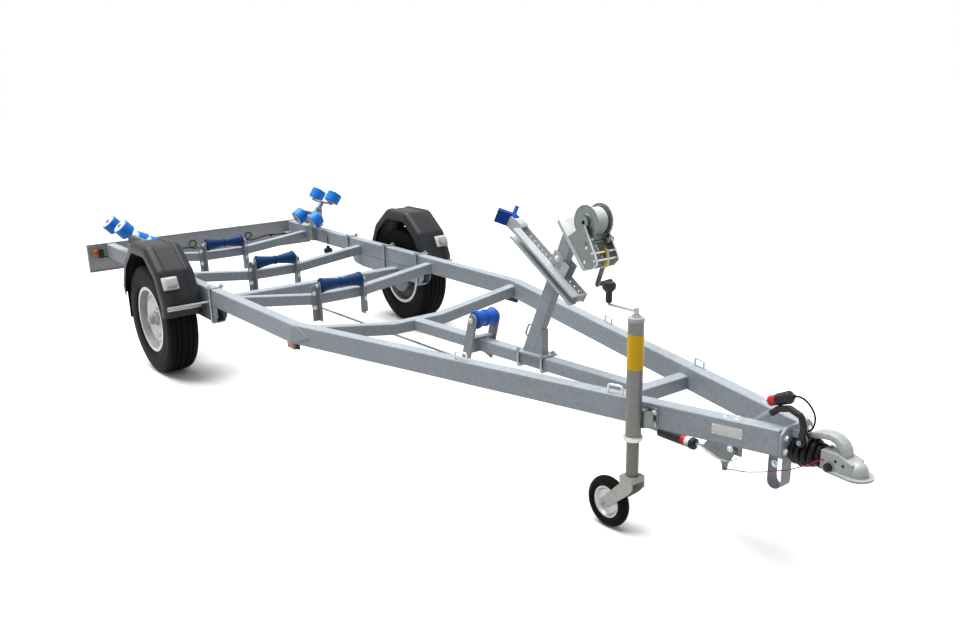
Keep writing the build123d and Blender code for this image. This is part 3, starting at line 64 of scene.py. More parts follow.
sides = ((-1, "right"), (1, "left"))


def mm(x, y, z):     # place on the trailer in mm: ahead of the axle, left of the middle, above the ground
    return Vector(((x - midX) / 1000, y / 1000, z / 1000))


# camera
view = {
    "place": mm(5620.192, -2773.154, 1812.242),
    "right": (0.62868329, 0.77754934, -0.01320404),
    "up": (-0.23032716, 0.20239343, 0.95183312),
    "ahead": (-0.74276963, 0.59536033, -0.3063321),
    "focal": 971.266, "middleX": 507.581, "middleY": 361.315, "wide": 960, "high": 640,
    "sensor": 36, "farEnd": 200,
}
lens = bpy.data.cameras.new("camera")
lens.sensor_width = view["sensor"]
lens.lens = view["focal"] / view["wide"] * view["sensor"]
lens.shift_x = -(view["middleX"] - view["wide"] / 2) / view["wide"]
lens.shift_y = (view["middleY"] - view["high"] / 2) / view["wide"]
lens.clip_end = view["farEnd"]
camera = bpy.data.objects.new("camera", lens)
bpy.context.scene.collection.objects.link(camera)
rows = [[view["right"][k], view["up"][k], -view["ahead"][k], view["place"][k]] for k in range(3)]
camera.matrix_world = Matrix(rows + [[0, 0, 0, 1]])
bpy.context.scene.camera = camera


# material maths
class Wire:          # a socket that can be written into sums
    def __init__(self, finish, socket):
        self.finish = finish
        self.socket = socket

    def sum(self, operation, first, second):
        return self.finish.node("ShaderNodeMath", {"operation": operation}, {0: first, 1: second})

    def __add__(self, other):
        return self.sum("ADD", self, other)

    def __radd__(self, other):
        return self.sum("ADD", other, self)

    def __sub__(self, other):
        return self.sum("SUBTRACT", self, other)

    def __rsub__(self, other):
        return self.sum("SUBTRACT", other, self)

    def __mul__(self, other):
        return self.sum("MULTIPLY", self, other)

    def __rmul__(self, other):
        return self.sum("MULTIPLY", other, self)


class Finish:
    def __init__(self, name, **fixed):
        self.material = bpy.data.materials.new(name)
        self.material.use_nodes = True
        self.tree = self.material.node_tree
        self.tree.nodes.clear()
        self.shader = self.tree.nodes.new("ShaderNodeBsdfPrincipled")
        self.output = self.tree.nodes.new("ShaderNodeOutputMaterial")
        self.tree.links.new(self.shader.outputs[0], self.output.inputs[0])
        for socket, value in fixed.items():
            self.shader.inputs[socket.replace("_", " ")].default_value = value
        self.coords = self.node("ShaderNodeTexCoord", out="Object")

    def node(self, kind, settings=None, sockets=None, out=0):
        made = self.tree.nodes.new(kind)
        for key, value in (settings or {}).items():
            setattr(made, key, value)
        for key, value in (sockets or {}).items():
            if isinstance(value, Wire):
                self.tree.links.new(value.socket, made.inputs[key])
            else:
                made.inputs[key].default_value = value
        return Wire(self, made.outputs[out])

    def noise(self, scale, detail, stretch=None, rough=0.55):
        where = self.coords
        if stretch:
            where = self.node("ShaderNodeMapping", {}, {"Vector": self.coords, "Scale": stretch})
        sockets = {"Vector": where, "Scale": scale, "Detail": detail, "Roughness": rough}
        return self.node("ShaderNodeTexNoise", {}, sockets)

    def blend(self, mask, first, second):
        first = first if isinstance(first, Wire) else (*first, 1)
        second = second if isinstance(second, Wire) else (*second, 1)
        return self.node("ShaderNodeMix", {"data_type": "RGBA"}, {0: mask, 6: first, 7: second}, out=2)

    def along(self, axis):
        return self.node("ShaderNodeSeparateXYZ", {}, {0: self.coords}, out=axis)

    def feed(self, socket, wire):
        self.tree.links.new(wire.socket, self.shader.inputs[socket])

    def bump(self, height, strength, distance):
        sockets = {"Height": height, "Strength": strength, "Distance": distance}
        self.feed("Normal", self.node("ShaderNodeBump", {}, sockets))


# hot-dip zinc: faint crystals and dull patches
def galvanised(name, dark, light, spangle, metallic, rough):
    f = Finish(name, Metallic=metallic)
    crystals = f.node("ShaderNodeTexVoronoi", {}, {"Vector": f.coords, "Scale": spangle}, out="Color")
    grain = f.node("ShaderNodeSeparateXYZ", {}, {0: crystals}, out=0)
    patch = f.noise(5.0, 4.0)
    runs = f.noise(26.0, 3.0, stretch=(0.3, 1, 2.2))
    tone = grain * 0.35 + patch * 0.55 + runs * 0.25 - 0.08
    f.feed("Base Color", f.blend(tone, dark, light))
    f.feed("Roughness", rough - 0.1 + grain * 0.1 + patch * 0.22)
    f.bump(f.noise(190.0, 2.0) + grain * 0.4, 0.12, 0.0006)
    return f.material


# zinc plate with fingermarks, and metal paint
def plated(name, dark, light, metallic, rough=0.28):
    f = Finish(name, Metallic=metallic)
    cloud = f.noise(38.0, 4.0)
    f.feed("Base Color", f.blend(cloud, dark, light))
    f.feed("Roughness", rough + cloud * 0.2)
    f.bump(f.noise(700.0, 2.0), 0.05, 0.0003)
    return f.material


# rubber, plastic and rope
def moulded(name, dark, light, rough, grain=420.0, depth=0.12, scale=14.0, shine=0.3):
    f = Finish(name, Specular_IOR_Level=shine)
    cloud = f.noise(scale, 4.0)
    f.feed("Base Color", f.blend(cloud, dark, light))
    f.feed("Roughness", rough - 0.06 + cloud * 0.16)
    f.bump(f.noise(grain, 2.0), depth, 0.0006)
    return f.material


# lamp lens with fine ribs inside, so many to a metre
def lensed(name, dark, light, ribs=260.0, **fixed):
    f = Finish(name, Roughness=0.12, **fixed)
    ribTurn = 6.283
    rib = f.node("ShaderNodeMath", {"operation": "SINE"}, {0: f.along(1) * ribs * ribTurn})
    f.feed("Base Color", f.blend(rib * 0.5 + 0.5, dark, light))
    f.bump(rib, 0.35, 0.0008)
    return f.material


steel = galvanised("galvanised", (0.225, 0.258, 0.29), (0.405, 0.448, 0.49), 70.0, 0.06, 0.5)
paleSteel = galvanised("galvanised_pale", (0.27, 0.285, 0.295), (0.47, 0.485, 0.49), 110.0, 0.1, 0.38)
zinc = plated("zinc", (0.28, 0.295, 0.30), (0.48, 0.495, 0.50), 0.5)
brightZinc = plated("bright_zinc", (0.56, 0.58, 0.58), (0.80, 0.81, 0.80), 0.5)
winchZinc = plated("winch_zinc", (0.15, 0.16, 0.17), (0.27, 0.28, 0.285), 0.4, 0.32)
greenZinc = plated("passivated_zinc", (0.095, 0.125, 0.115), (0.23, 0.265, 0.25), 0.6, 0.26)
brass = plated("yellow_zinc", (0.20, 0.14, 0.05), (0.48, 0.37, 0.16), 0.75, 0.3)
tubeSteel = plated("jockey_tube", (0.12, 0.12, 0.112), (0.225, 0.222, 0.205), 0.45, 0.36)
innerSteel = plated("jockey_inner", (0.085, 0.08, 0.066), (0.17, 0.162, 0.142), 0.5, 0.34)
forkSteel = plated("fork_steel", (0.24, 0.235, 0.215), (0.42, 0.41, 0.385), 0.4, 0.38)
bracketSteel = galvanised("galvanised_dull", (0.17, 0.185, 0.20), (0.34, 0.365, 0.385), 90.0, 0.1, 0.46)
armSteel = galvanised("galvanised_bright", (0.36, 0.385, 0.40), (0.60, 0.63, 0.65), 70.0, 0.06, 0.5)
navy = moulded("navy_rubber", (0.002, 0.026, 0.10), (0.006, 0.056, 0.19), 0.42, 260.0, 0.1, shine=0.16)
blue = moulded("blue_rubber", (0.004, 0.17, 0.66), (0.012, 0.29, 0.96), 0.36, 260.0, 0.08)
midBlue = moulded("mid_blue_rubber", (0.003, 0.06, 0.36), (0.008, 0.12, 0.56), 0.36, 260.0, 0.08)
deepBlue = moulded("deep_blue_rubber", (0.002, 0.04, 0.27), (0.006, 0.078, 0.42), 0.4, 260.0, 0.08,
                   shine=0.16)
white = moulded("white_nylon", (0.66, 0.66, 0.64), (0.80, 0.80, 0.78), 0.4)
black = moulded("black_plastic", (0.006, 0.006, 0.007), (0.016, 0.016, 0.018), 0.42, shine=0.25)
guardPlastic = moulded("guard_plastic", (0.009, 0.010, 0.012), (0.020, 0.022, 0.027), 0.46, 520.0, 0.4, 7.0,
                       0.28)
rubber = moulded("rubber", (0.0015, 0.0015, 0.0018), (0.005, 0.005, 0.005), 0.62, 180.0, 0.25, 14.0, 0.07)
bootRubber = moulded("boot_rubber", (0.002, 0.002, 0.0022), (0.006, 0.006, 0.0065), 0.4, 60.0, 0.4, 14.0,
                     0.16)
silver = plated("silver_paint", (0.42, 0.43, 0.44), (0.62, 0.63, 0.64), 0.5, 0.3)
boardPaint = plated("board", (0.37, 0.375, 0.385), (0.50, 0.505, 0.515), 0.15, 0.42)
red = moulded("red_plastic", (0.46, 0.006, 0.008), (0.70, 0.012, 0.014), 0.32)
redSheath = moulded("red_sheath", (0.30, 0.006, 0.01), (0.50, 0.012, 0.016), 0.3)
rope = moulded("rope", (0.50, 0.50, 0.49), (0.86, 0.86, 0.84), 0.7, 900.0, 0.5, 160.0)
yellow = moulded("yellow_band", (0.70, 0.40, 0.004), (0.92, 0.58, 0.012), 0.38, shine=0.2)
plateMetal = plated("blank_plate", (0.40, 0.39, 0.37), (0.60, 0.58, 0.55), 0.35, 0.4)
amberLens = lensed("amber_lens", (0.42, 0.07, 0.003), (0.78, 0.17, 0.006))
redLens = lensed("red_lens", (0.34, 0.004, 0.004), (0.62, 0.010, 0.008))
clearLens = lensed("clear_lens", (0.34, 0.345, 0.35), (0.62, 0.63, 0.64), 180.0, Coat_Weight=0.6)
print("materials ready")

finishes = {
    steel: ["side_rails", "drawbar_rails", "cross_members", "keel_beam", "axle_brackets", "axle",
            "cradle_left", "cradle_right", "winch_post"],
    bracketSteel: ["roller_brackets"],
    armSteel: ["bow_arm"],
    brightZinc: ["rope_eyes"],
    zinc: ["clamp_bolts", "jockey_crank"],
    winchZinc: ["brake_linkage"],
    paleSteel: ["coupling_head"],
    greenZinc: ["winch_drum", "winch_crank"],
    tubeSteel: ["jockey_outer_tube"],
    innerSteel: ["jockey_inner_tube"],
    forkSteel: ["jockey_fork"],
    navy: ["keel_roller_1", "keel_roller_2", "keel_roller_3"],
    midBlue: ["keel_roller_4"],
    blue: [n for n in nodes if n.startswith("cradle_roller")],
    deepBlue: ["bow_stop"],
    black: ["handbrake_lever", "jockey_knob"],
    rubber: ["jockey_tyre", "light_cable"],
    silver: ["rim_left", "rim_right", "jockey_rim"],
    boardPaint: ["light_board"],
}
for finish, names in finishes.items():
    for name in names:
        nodes[name].data.materials.clear()
        nodes[name].data.materials.append(finish)
        nodes[name].material_slots[0].material = finish
dressed = {name for names in finishes.values() for name in names}
for name in nodes:                   # nodes that a piece made below stands for
    if name not in dressed:
        nodes[name].data.materials.clear()
        nodes[name].data.materials.append(black)


# modelling helpers
def deselect():
    if bpy.context.object and bpy.context.object.mode != "OBJECT":
        bpy.ops.object.mode_set(mode="OBJECT")
    bpy.ops.object.select_all(action="DESELECT")


def edit():
    bpy.ops.object.mode_set(mode="EDIT")


def leave():
    bpy.ops.object.mode_set(mode="OBJECT")
    return bpy.context.object


# selects the faces whose middle passes the test, or the edges whose two ends do
def pick(piece, mode, test):
    edit()
    bpy.ops.mesh.select_mode(type="FACE" if mode == "faces" else "EDGE")
    bpy.ops.mesh.select_all(action="DESELECT")
    leave()
    place = piece.matrix_world
    if mode == "faces":
        for face in piece.data.polygons:
            face.select = bool(test(place @ face.center))
    else:
        spots = [place @ v.co for v in piece.data.vertices]
        for line in piece.data.edges:
            line.select = bool(test(spots[line.vertices[0]], spots[line.vertices[1]]))
    edit()


def settle(piece, name, finish, body, angle=35):
    deselect()
    piece.select_set(True)
    bpy.context.view_layer.objects.active = piece
    for modifier in list(piece.modifiers):
        bpy.ops.object.modifier_apply(modifier=modifier.name)
    bpy.ops.object.transform_apply(location=True, rotation=True, scale=True)
    piece.name = name
    if finish:
        paint(piece, finish)
    bpy.ops.object.shade_smooth_by_angle(angle=math.radians(angle))
    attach(piece, body)
    return piece


def joined(pieces):                  # the first piece's modifiers are the ones that stay
    deselect()
    for piece in pieces:
        piece.select_set(True)
    bpy.context.view_layer.objects.active = pieces[0]
    if len(pieces) > 1:
        bpy.ops.object.join()
    bpy.ops.object.transform_apply(location=True, rotation=True, scale=True)
    return bpy.context.object


def paint(piece, finish):            # gives a piece one finish
    piece.data.materials.clear()
    piece.data.materials.append(finish)
    return piece


def trace(spots):                    # a line of edges through the spots, drawn by extruding one point
    deselect()
    bpy.ops.mesh.primitive_plane_add(size=0.01, location=spots[0])
    edit()
    bpy.ops.mesh.select_mode(type="VERT")
    bpy.ops.mesh.select_all(action="SELECT")
    bpy.ops.mesh.merge(type="CENTER")
    for here, there in zip(spots, spots[1:]):
        bpy.ops.mesh.extrude_region_move(TRANSFORM_OT_translate={"value": Vector(there) - Vector(here)})


def spun(profile, centre, axis, steps):          # profile of (radius, along) in mm, turned about an axis
    axis = Vector(axis).normalized()
    centre = Vector(centre)
    side = axis.orthogonal().normalized()
    trace([centre + axis * (s / 1000) + side * (r / 1000) for r, s in profile])
    bpy.ops.mesh.select_all(action="SELECT")
    bpy.ops.mesh.spin(steps=steps, angle=2 * math.pi, center=centre, axis=axis)
    bpy.ops.mesh.select_all(action="SELECT")
    bpy.ops.mesh.remove_doubles(threshold=0.00002)
    bpy.ops.mesh.normals_make_consistent(inside=False)
    return leave()


def swept(spots, across, thick, bevel):          # a strap: the line pushed sideways, then given its wall
    trace(spots)
    bpy.ops.mesh.select_all(action="SELECT")
    bpy.ops.mesh.extrude_region_move(TRANSFORM_OT_translate={"value": Vector(across)})
    piece = leave()
    wall = piece.modifiers.new("wall", "SOLIDIFY")
    wall.thickness = thick
    wall.offset = 0
    edge = piece.modifiers.new("edge", "BEVEL")
    edge.width = bevel
    edge.segments = 3
    return piece


def box(first, last, bevel, segments=2):         # two opposite corners in mm
    first, last = mm(*first), mm(*last)
    deselect()
    bpy.ops.mesh.primitive_cube_add(size=1, location=(first + last) / 2)
    piece = bpy.context.object
    piece.scale = [abs(a) for a in (last - first)]
    bpy.ops.object.transform_apply(location=False, rotation=False, scale=True)
    edit()
    bpy.ops.mesh.select_all(action="SELECT")
    bpy.ops.mesh.bevel(offset=bevel, segments=segments, affect="EDGES")
    return leave()


def sideBox(side, x, y, z, bevel, segments=2):   # pairs of x, y and z, with y counted out from the middle
    return box((x[0], side * y[0], z[0]), (x[1], side * y[1], z[1]), bevel, segments)


def slab(spots, push, bevel):        # a flat outline filled and pushed into a plate
    trace(list(spots) + [spots[0]])
    bpy.ops.mesh.select_all(action="SELECT")
    bpy.ops.mesh.remove_doubles(threshold=0.00005)
    bpy.ops.mesh.select_all(action="SELECT")
    bpy.ops.mesh.edge_face_add()
    bpy.ops.mesh.extrude_region_move(TRANSFORM_OT_translate={"value": Vector(push)})
    bpy.ops.mesh.select_all(action="SELECT")
    bpy.ops.mesh.normals_make_consistent(inside=False)
    bpy.ops.mesh.bevel(offset=bevel, segments=2, affect="EDGES")
    return leave()


def copied(source, spot, normal, turn, size=1.0):
    twin = source.copy()
    twin.data = source.data.copy()
    bpy.context.scene.collection.objects.link(twin)
    facing = Vector(normal).to_track_quat("Z", "Y").to_matrix().to_4x4()
    twist = Matrix.Rotation(turn, 4, "Z")
    twin.matrix_world = Matrix.Translation(spot) @ facing @ twist @ Matrix.Scale(size, 4)
    return twin


def hexHead(across, high, washer):   # bolt head with a chamfered top, on its washer
    seat, flatsToRadius = 1.5, 1.732
    top = (high + seat) / 1000
    rim = top - 0.0005
    deselect()
    bpy.ops.mesh.primitive_cylinder_add(vertices=6, radius=across / 1000 / flatsToRadius, depth=high / 1000,
                                        location=(0, 0, (high / 2 + seat) / 1000))
    head = bpy.context.object
    pick(head, "edges", lambda a, b: a.z > rim and b.z > rim)
    bpy.ops.mesh.bevel(offset=across / 9000, segments=2, affect="EDGES")
    leave()
    ring = spun([(0.5, 0), (washer, 0), (washer, 1.2), (washer - 0.6, 1.6), (0.5, 1.6)], (0, 0, 0),
                (0, 0, 1), 20)
    return joined([head, ring])


bolt = hexHead(16, 8, 14)
smallBolt = hexHead(11, 6, 10)


def boltSet(name, rows, finish, body):           # rows of (spot, normal)
    heads = [copied(bolt, spot, normal, 0.4) for spot, normal in rows]
    return settle(joined(heads), name, finish, body, 30)


def bodyOf(name):
    return nodes[name]["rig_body"]


# tyres
tyre = {"middle": 874.5, "height": 325, "sectors": 72, "groove": 7, "notchEvery": 3, "notchSink": 0.982,
        "notchReach": (0.3205, 0.3228), "notchAcross": (0.050, 0.067)}
g = tyre["groove"]
crown = [(-66, 320), (-50, 321.5), (-50, 322 - g), (-43, 322.5 - g), (-43, 323.4), (-22, 324.4),
         (-22, 324.6 - g), (-15, 324.6 - g), (-15, 324.7), (15, 324.7), (15, 324.6 - g), (22, 324.6 - g),
         (22, 324.4), (43, 323.4), (43, 322.5 - g), (50, 322 - g), (50, 321.5), (66, 320)]
wall = [(178.6, -74), (193.6, -74.5), (196, -80), (200, -84), (206, -84), (209, -87), (232, -91),
        (244, -92.2), (248, -91.4), (262, -92), (284, -90), (289, -90.4), (298, -87), (309, -82.5),
        (315, -78)]
tyreLine = wall + [(r, s) for s, r in crown] + [(r, -s) for r, s in reversed(wall)] + [wall[0]]
step = 2 * math.pi / tyre["sectors"]
for side, word in sides:
    hub = mm(0, side * tyre["middle"], tyre["height"])
    piece = spun(tyreLine, hub, (0, 1, 0), tyre["sectors"])

    def notched(middle):             # every third sector of the shoulder ribs is cut down
        away = middle - hub
        nearest, farthest = tyre["notchReach"]
        inner, outer = tyre["notchAcross"]
        inside = nearest < math.hypot(away.x, away.z) < farthest and inner < abs(away.y) < outer
        sector = int((math.atan2(away.z, away.x) % (2 * math.pi)) / step)
        return inside and sector % tyre["notchEvery"] == 0

    pick(piece, "faces", notched)
    bpy.ops.mesh.extrude_region_move()
    bpy.ops.transform.resize(value=(tyre["notchSink"], 1, tyre["notchSink"]), center_override=hub)
    leave()
    settle(piece, "road_tyre_" + word, rubber, "wheel_" + word, 32)
    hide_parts("tyre_" + word)

# wheel bolts, hub cap, valve, and a black brake backplate behind each rim whose black is also painted shade
# for the inside of the wheel
wheel = {"bolts": 5, "boltCircle": 56, "boltTurn": 0.3, "boltFace": 30, "capFace": 83, "backplateShadeY": 812,
         "valveFace": 38, "valveUp": 140}
for side, word in sides:
    middle, height = tyre["middle"], tyre["height"]
    rows = []
    for k in range(wheel["bolts"]):
        a = 2 * math.pi * k / wheel["bolts"] + wheel["boltTurn"]
        rows.append((mm(wheel["boltCircle"] * math.cos(a), side * (middle + wheel["boltFace"]),
                        height + wheel["boltCircle"] * math.sin(a)), (0, side, 0)))
    boltSet("wheel_bolts_" + word, rows, zinc, "wheel_" + word)
    cap = spun([(0, 9), (14, 9), (24, 6), (29, 0), (31, -6), (31, -14)],
               mm(0, side * (middle + wheel["capFace"]), height), (0, side, 0), 32)
    settle(cap, "hub_cap_" + word, paleSteel, "wheel_" + word)
    # black disc behind the rim: a brake backplate, and painted shade that hides the rim's inner ring
    backplateShade = spun([(0, 0), (150, 0), (156, 2), (158, 6), (158, 14), (0, 14)],
                  mm(0, side * wheel["backplateShadeY"], height), (0, side, 0), 48)
    settle(backplateShade, "backplate_shade_" + word, black, "chassis", 30)
    valve = spun([(0, 14), (3, 14), (3.6, 6), (4.5, 2), (5, -8), (0, -8)],
                 mm(0, side * (middle + wheel["valveFace"]), height + wheel["valveUp"]), (0, side, 0.3), 14)
    settle(valve, "valve_" + word, black, "wheel_" + word)
print("wheels done")

# mudguards, with a section of (outward, inward) spots and a rubber flap behind
guard = {"half": 350, "top": 775, "outer": 983, "corner": 70, "arcSteps": 8, "wall": 3.6, "hub": 380,
         "reach": 375, "slant": (76, 122), "crown": 232, "knee": 500, "feet": (402, 432),
         "section": [(-60, 0), (-40, 0), (-24, 2.5), (-12, 8), (-4, 18), (-0.5, 31), (0, 42), (0, 52),
                     (-1, 54), (-4.5, 56), (-5, 60), (-4, 110), (-5, 160), (-4.5, 164), (-1, 166), (0, 168),
                     (0, 178), (-0.5, 189), (-4, 202), (-12, 212), (-24, 217.5), (-40, 220), (-60, 220)],
         "flap": ((-350, -345), (781, 957), (272, 440))}


def guardLine():                     # outline of a mudguard's crown from its front foot to its rear foot
    half, top, knee = guard["half"], guard["top"], guard["knee"]
    slantX, slantZ = guard["slant"]
    flat = half - guard["crown"]
    corners = [(half, guard["feet"][0]), (half, knee), (half - slantX, top - slantZ), (flat, top),
               (-flat, top), (slantX - half, top - slantZ), (-half, knee), (-half, guard["feet"][1])]
    line = [corners[0]]
    for before, here, after in zip(corners, corners[1:], corners[2:]):
        b, h, a = Vector(before), Vector(here), Vector(after)
        goIn, goOut = (h - b).normalized(), (a - h).normalized()
        cut = guard["corner"] * math.tan(goIn.angle(goOut) / 2)
        first, last = h - goIn * cut, h + goOut * cut
        for k in range(guard["arcSteps"] + 1):
            f = k / guard["arcSteps"]
            line.append(tuple(first * (1 - f) ** 2 + h * 2 * f * (1 - f) + last * f * f))
    line.append(corners[-1])
    return line


for side, word in sides:
    hub = mm(0, side * guard["outer"], guard["hub"])
    k = (guard["reach"] + guard["section"][0][0]) / guard["reach"]
    trace([mm(x * k, side * guard["outer"], guard["hub"] + (z - guard["hub"]) * k) for x, z in guardLine()])
    bpy.ops.mesh.select_all(action="SELECT")
    for (liftA, deepA), (liftB, deepB) in zip(guard["section"], guard["section"][1:]):
        push = (0, -side * (deepB - deepA) / 1000, 0)
        bpy.ops.mesh.extrude_region_move(TRANSFORM_OT_translate={"value": push})
        k = (guard["reach"] + liftB) / (guard["reach"] + liftA)
        bpy.ops.transform.resize(value=(k, 1, k), center_override=hub)
    bpy.ops.mesh.select_all(action="SELECT")
    bpy.ops.mesh.remove_doubles(threshold=0.00005)
    bpy.ops.mesh.normals_make_consistent(inside=False)
    shell = leave()
    wall = shell.modifiers.new("wall", "SOLIDIFY")
    wall.thickness = guard["wall"] / 1000
    wall.offset = 0
    flap = sideBox(side, *guard["flap"], 0.002)
    settle(joined([paint(shell, guardPlastic), paint(flap, rubber)]), "guard_" + word, None, "chassis", 40)
    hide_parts("mudguard_" + word)

stay = {"arm": (354.3, 386), "armY": (731.4, 972), "armZ": (462, 468), "face": (353.4, 358),
        "faceY": (776, 972), "faceZ": (441, 467), "rib": (357, 361), "ribZ": (443, 452, 461), "ribHigh": 4.5}
stays = []
for end in both:
    arm, face, rib = [(end * near, end * far) for near, far in (stay["arm"], stay["face"], stay["rib"])]
    for side in both:
        stays.append(paint(sideBox(side, arm, stay["armY"], stay["armZ"], 0.0015), paleSteel))
        stays.append(paint(sideBox(side, face, stay["faceY"], stay["faceZ"], 0.0015), paleSteel))
        for z in stay["ribZ"]:
            ribBox = sideBox(side, rib, stay["faceY"], (z, z + stay["ribHigh"]), 0.0012)
            stays.append(paint(ribBox, brightZinc))
settle(joined(stays), "guard_stays", None, bodyOf("mudguard_stays"), 30)
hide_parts("mudguard_stays")
print("mudguards done")

# position lamps on the mudguards' front slopes, and amber marker lamps by the rails
slope = {"low": Vector((350, 0, 500)), "top": Vector((274, 0, 653)), "out": Vector((153, 0, 76)),
         "y": 924, "back": 5, "up": 10}
marker = {"lens": ((1288, 1362), (701, 716), (402, 440)), "holder": ((1284, 1386), (692, 703), (405, 441.6)),
          "tail": ((1358, 1384), (692, 713), (408, 436))}
slopeMid = (slope["low"] + slope["top"]) / 2
facing = slope["out"].normalized().to_track_quat("Z", "Y").to_matrix().to_4x4()
parts = []
for side in both:
    spot = mm(slopeMid.x - slope["back"], side * slope["y"], slopeMid.z + slope["up"])
    lift = Matrix.Translation(spot) @ facing @ Matrix.Rotation(math.pi / 2, 4, "Z")
    base = box((-37 + midX, -44, 0), (37 + midX, 44, 15), 0.004, 3)
    base.matrix_world = lift @ base.matrix_world
    glass = box((-29 + midX, -35, 13), (29 + midX, 27, 40), 0.013, 4)
    glass.matrix_world = lift @ glass.matrix_world
    parts += [paint(base, white), paint(glass, clearLens),
              paint(sideBox(side, *marker["lens"], 0.006, 3), amberLens),
              paint(sideBox(side, *marker["holder"], 0.005), black),
              paint(sideBox(side, *marker["tail"], 0.006, 3), black)]
lamps = settle(joined(parts), "position_lamps", None, "chassis", 30)
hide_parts("marker_lamps")

# rear lamps, and the small lamps on the front of the light board
cluster = {"face": ((-1508, -1474), (628, 838), (380, 484)),
           "amber": ((-1507.9, -1500), (770, 836), (382, 482)),
           "case": ((-1476, -1462.4), (631, 835), (383, 481))}
endLamp = {"face": ((-1438, -1417), (792, 829), (449, 508)),
           "back": ((-1438, -1420), (756, 796), (446.5, 510)),
           "neck": ((-1422, -1411), (764, 786), (462, 494))}
parts = []
for side in both:
    parts += [paint(sideBox(side, *cluster["face"], 0.008, 3), redLens),
              paint(sideBox(side, *cluster["amber"], 0.003), amberLens),
              paint(sideBox(side, *cluster["case"], 0.004), black),
              paint(sideBox(side, *endLamp["face"], 0.008, 4), redLens if side > 0 else amberLens),
              paint(sideBox(side, *endLamp["back"], 0.007, 3), black),
              paint(sideBox(side, *endLamp["neck"], 0.005, 3), black)]
rear = settle(joined(parts), "lamp_clusters", None, "chassis", 30)
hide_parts("rear_lamps")
print("lamps done")


# plug and cables
def cable(name, points, thick, finish):
    data = bpy.data.curves.new(name, "CURVE")
    data.dimensions = "3D"
    data.bevel_depth = thick / 2000
    data.bevel_resolution = 4
    data.resolution_u = 16
    data.use_fill_caps = True
    line = data.splines.new("NURBS")
    line.points.add(len(points) - 1)
    for point, spot in zip(line.points, points):
        point.co = (*mm(*spot), 1)
    line.order_u = 3
    line.use_endpoint_u = True
    data.materials.append(finish)
    piece = bpy.data.objects.new(name, data)
    bpy.context.scene.collection.objects.link(piece)
    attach(piece, "chassis")
    return piece


plugFacts = {"rear": (3687.0, -40.0, 616.3), "rise": 24.0, "length": 110.6, "leadGap": 1.3, "ribs": 9,
             "firstRib": 38, "ribStep": 6.0, "valley": (20.6, 0.32), "ridge": (22.0, 0.2),
             "cap": [(0, 0.5), (16, 0.5), (18, 2), (19.4, 5), (19.6, 31), (18, 33), (0, 33)],
             "neck": [(0, 33), (19.0, 33), (20.4, 35)],
             "nose": [(22.5, 92), (18.5, 97), (9.5, 101), (7.5, 110), (0, 110.4)]}
rise = math.radians(plugFacts["rise"])
plugDir = Vector((math.cos(rise), 0, math.sin(rise)))
plugRear = mm(*plugFacts["rear"])
plugFront = Vector(plugFacts["rear"]) + plugDir * (plugFacts["length"] + plugFacts["leadGap"])
cap = spun(plugFacts["cap"], plugRear, plugDir, 36)
ribs = []
for k in range(plugFacts["ribs"]):
    s = plugFacts["firstRib"] + k * plugFacts["ribStep"]
    valley, ridge = [start + grow * k for start, grow in (plugFacts["valley"], plugFacts["ridge"])]
    ribs += [(valley, s), (ridge, s + 1.6), (ridge, s + 3.4), (valley, s + 4.8)]
body = spun(plugFacts["neck"] + ribs + plugFacts["nose"], plugRear, plugDir, 36)
plugPiece = settle(joined([paint(cap, red), paint(body, black)]), "parked_plug", None, "chassis", 30)
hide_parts("plug")

plugRoute = [(3787.6, 50, 504), (3813, 43, 522), (3830, 31, 555), (3841, 12, 588), (3846, -14, 622),
             (3835, -31, 650), (3812, -39, 666), tuple(plugFront)]
plugCable = cable("plug_lead", plugRoute, 7.0, rubber)
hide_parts("plug_cable")
tuple(mm(*plugRoute[0]))

breakRoute = [(3494, -30.3, 288), (3545, -34, 302), (3597, -39, 311), (3652, -45, 332), (3700, -50, 350),
              (3745, -53, 372), (3790, -54, 388), (3830, -52, 412), (3868, -46, 434), (3900, -39, 460),
              (3918, -35.6, 466)]
breakCable = cable("breakaway_line", breakRoute, 4.0, redSheath)
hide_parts("breakaway_cable")
tuple(mm(*breakRoute[0]))
print("cables done")

# white hubs let into the ends of the cradle rollers
cradle = {"x": -985, "y": {"left": 713, "right": 693}, "z": {"left": 681, "right": 640},
          "tilt": {"left": 42.4, "right": 35}, "vee": 12, "reach": 110, "span": 240, "half": 37.5,
          "hub": [(11, 0.3), (20, 2.6), (31, 2.6), (33, 1.2), (45, 1.2), (47.5, 0.3)]}
hubLine = [(r, cradle["half"] + h) for r, h in cradle["hub"]]
for side, word in sides:
    for end, endWord in ((1, "outer"), (-1, "inner")):
        lean = math.radians(cradle["tilt"][word] + end * cradle["vee"])
        away = Vector((0, side * math.cos(lean), math.sin(lean)))
        for fore, foreWord in ((1, "front"), (-1, "rear")):
            name = "_".join((word, endWord, foreWord))
            spot = mm(cradle["x"] + fore * cradle["span"] / 2, side * cradle["y"][word], cradle["z"][word])
            middle = spot + away * end * cradle["reach"] / 1000
            hubs = [spun(hubLine, middle, away * face, 28) for face in both]
            settle(joined(hubs), "roller_hubs_" + name, white, bodyOf("cradle_roller_" + name), 30)
print("cradles done")

# winch
winch = {"x": 2680, "z": 1031, "fall": 49.3, "drum": (-40, 109), "ringY": 42.2}
fall = math.radians(winch["fall"])


def onWinch(along, above, y):        # place in the winch's own frame, along and above its plate
    return mm(winch["x"] + along * math.cos(fall) + above * math.sin(fall), y,
              winch["z"] - along * math.sin(fall) + above * math.cos(fall))


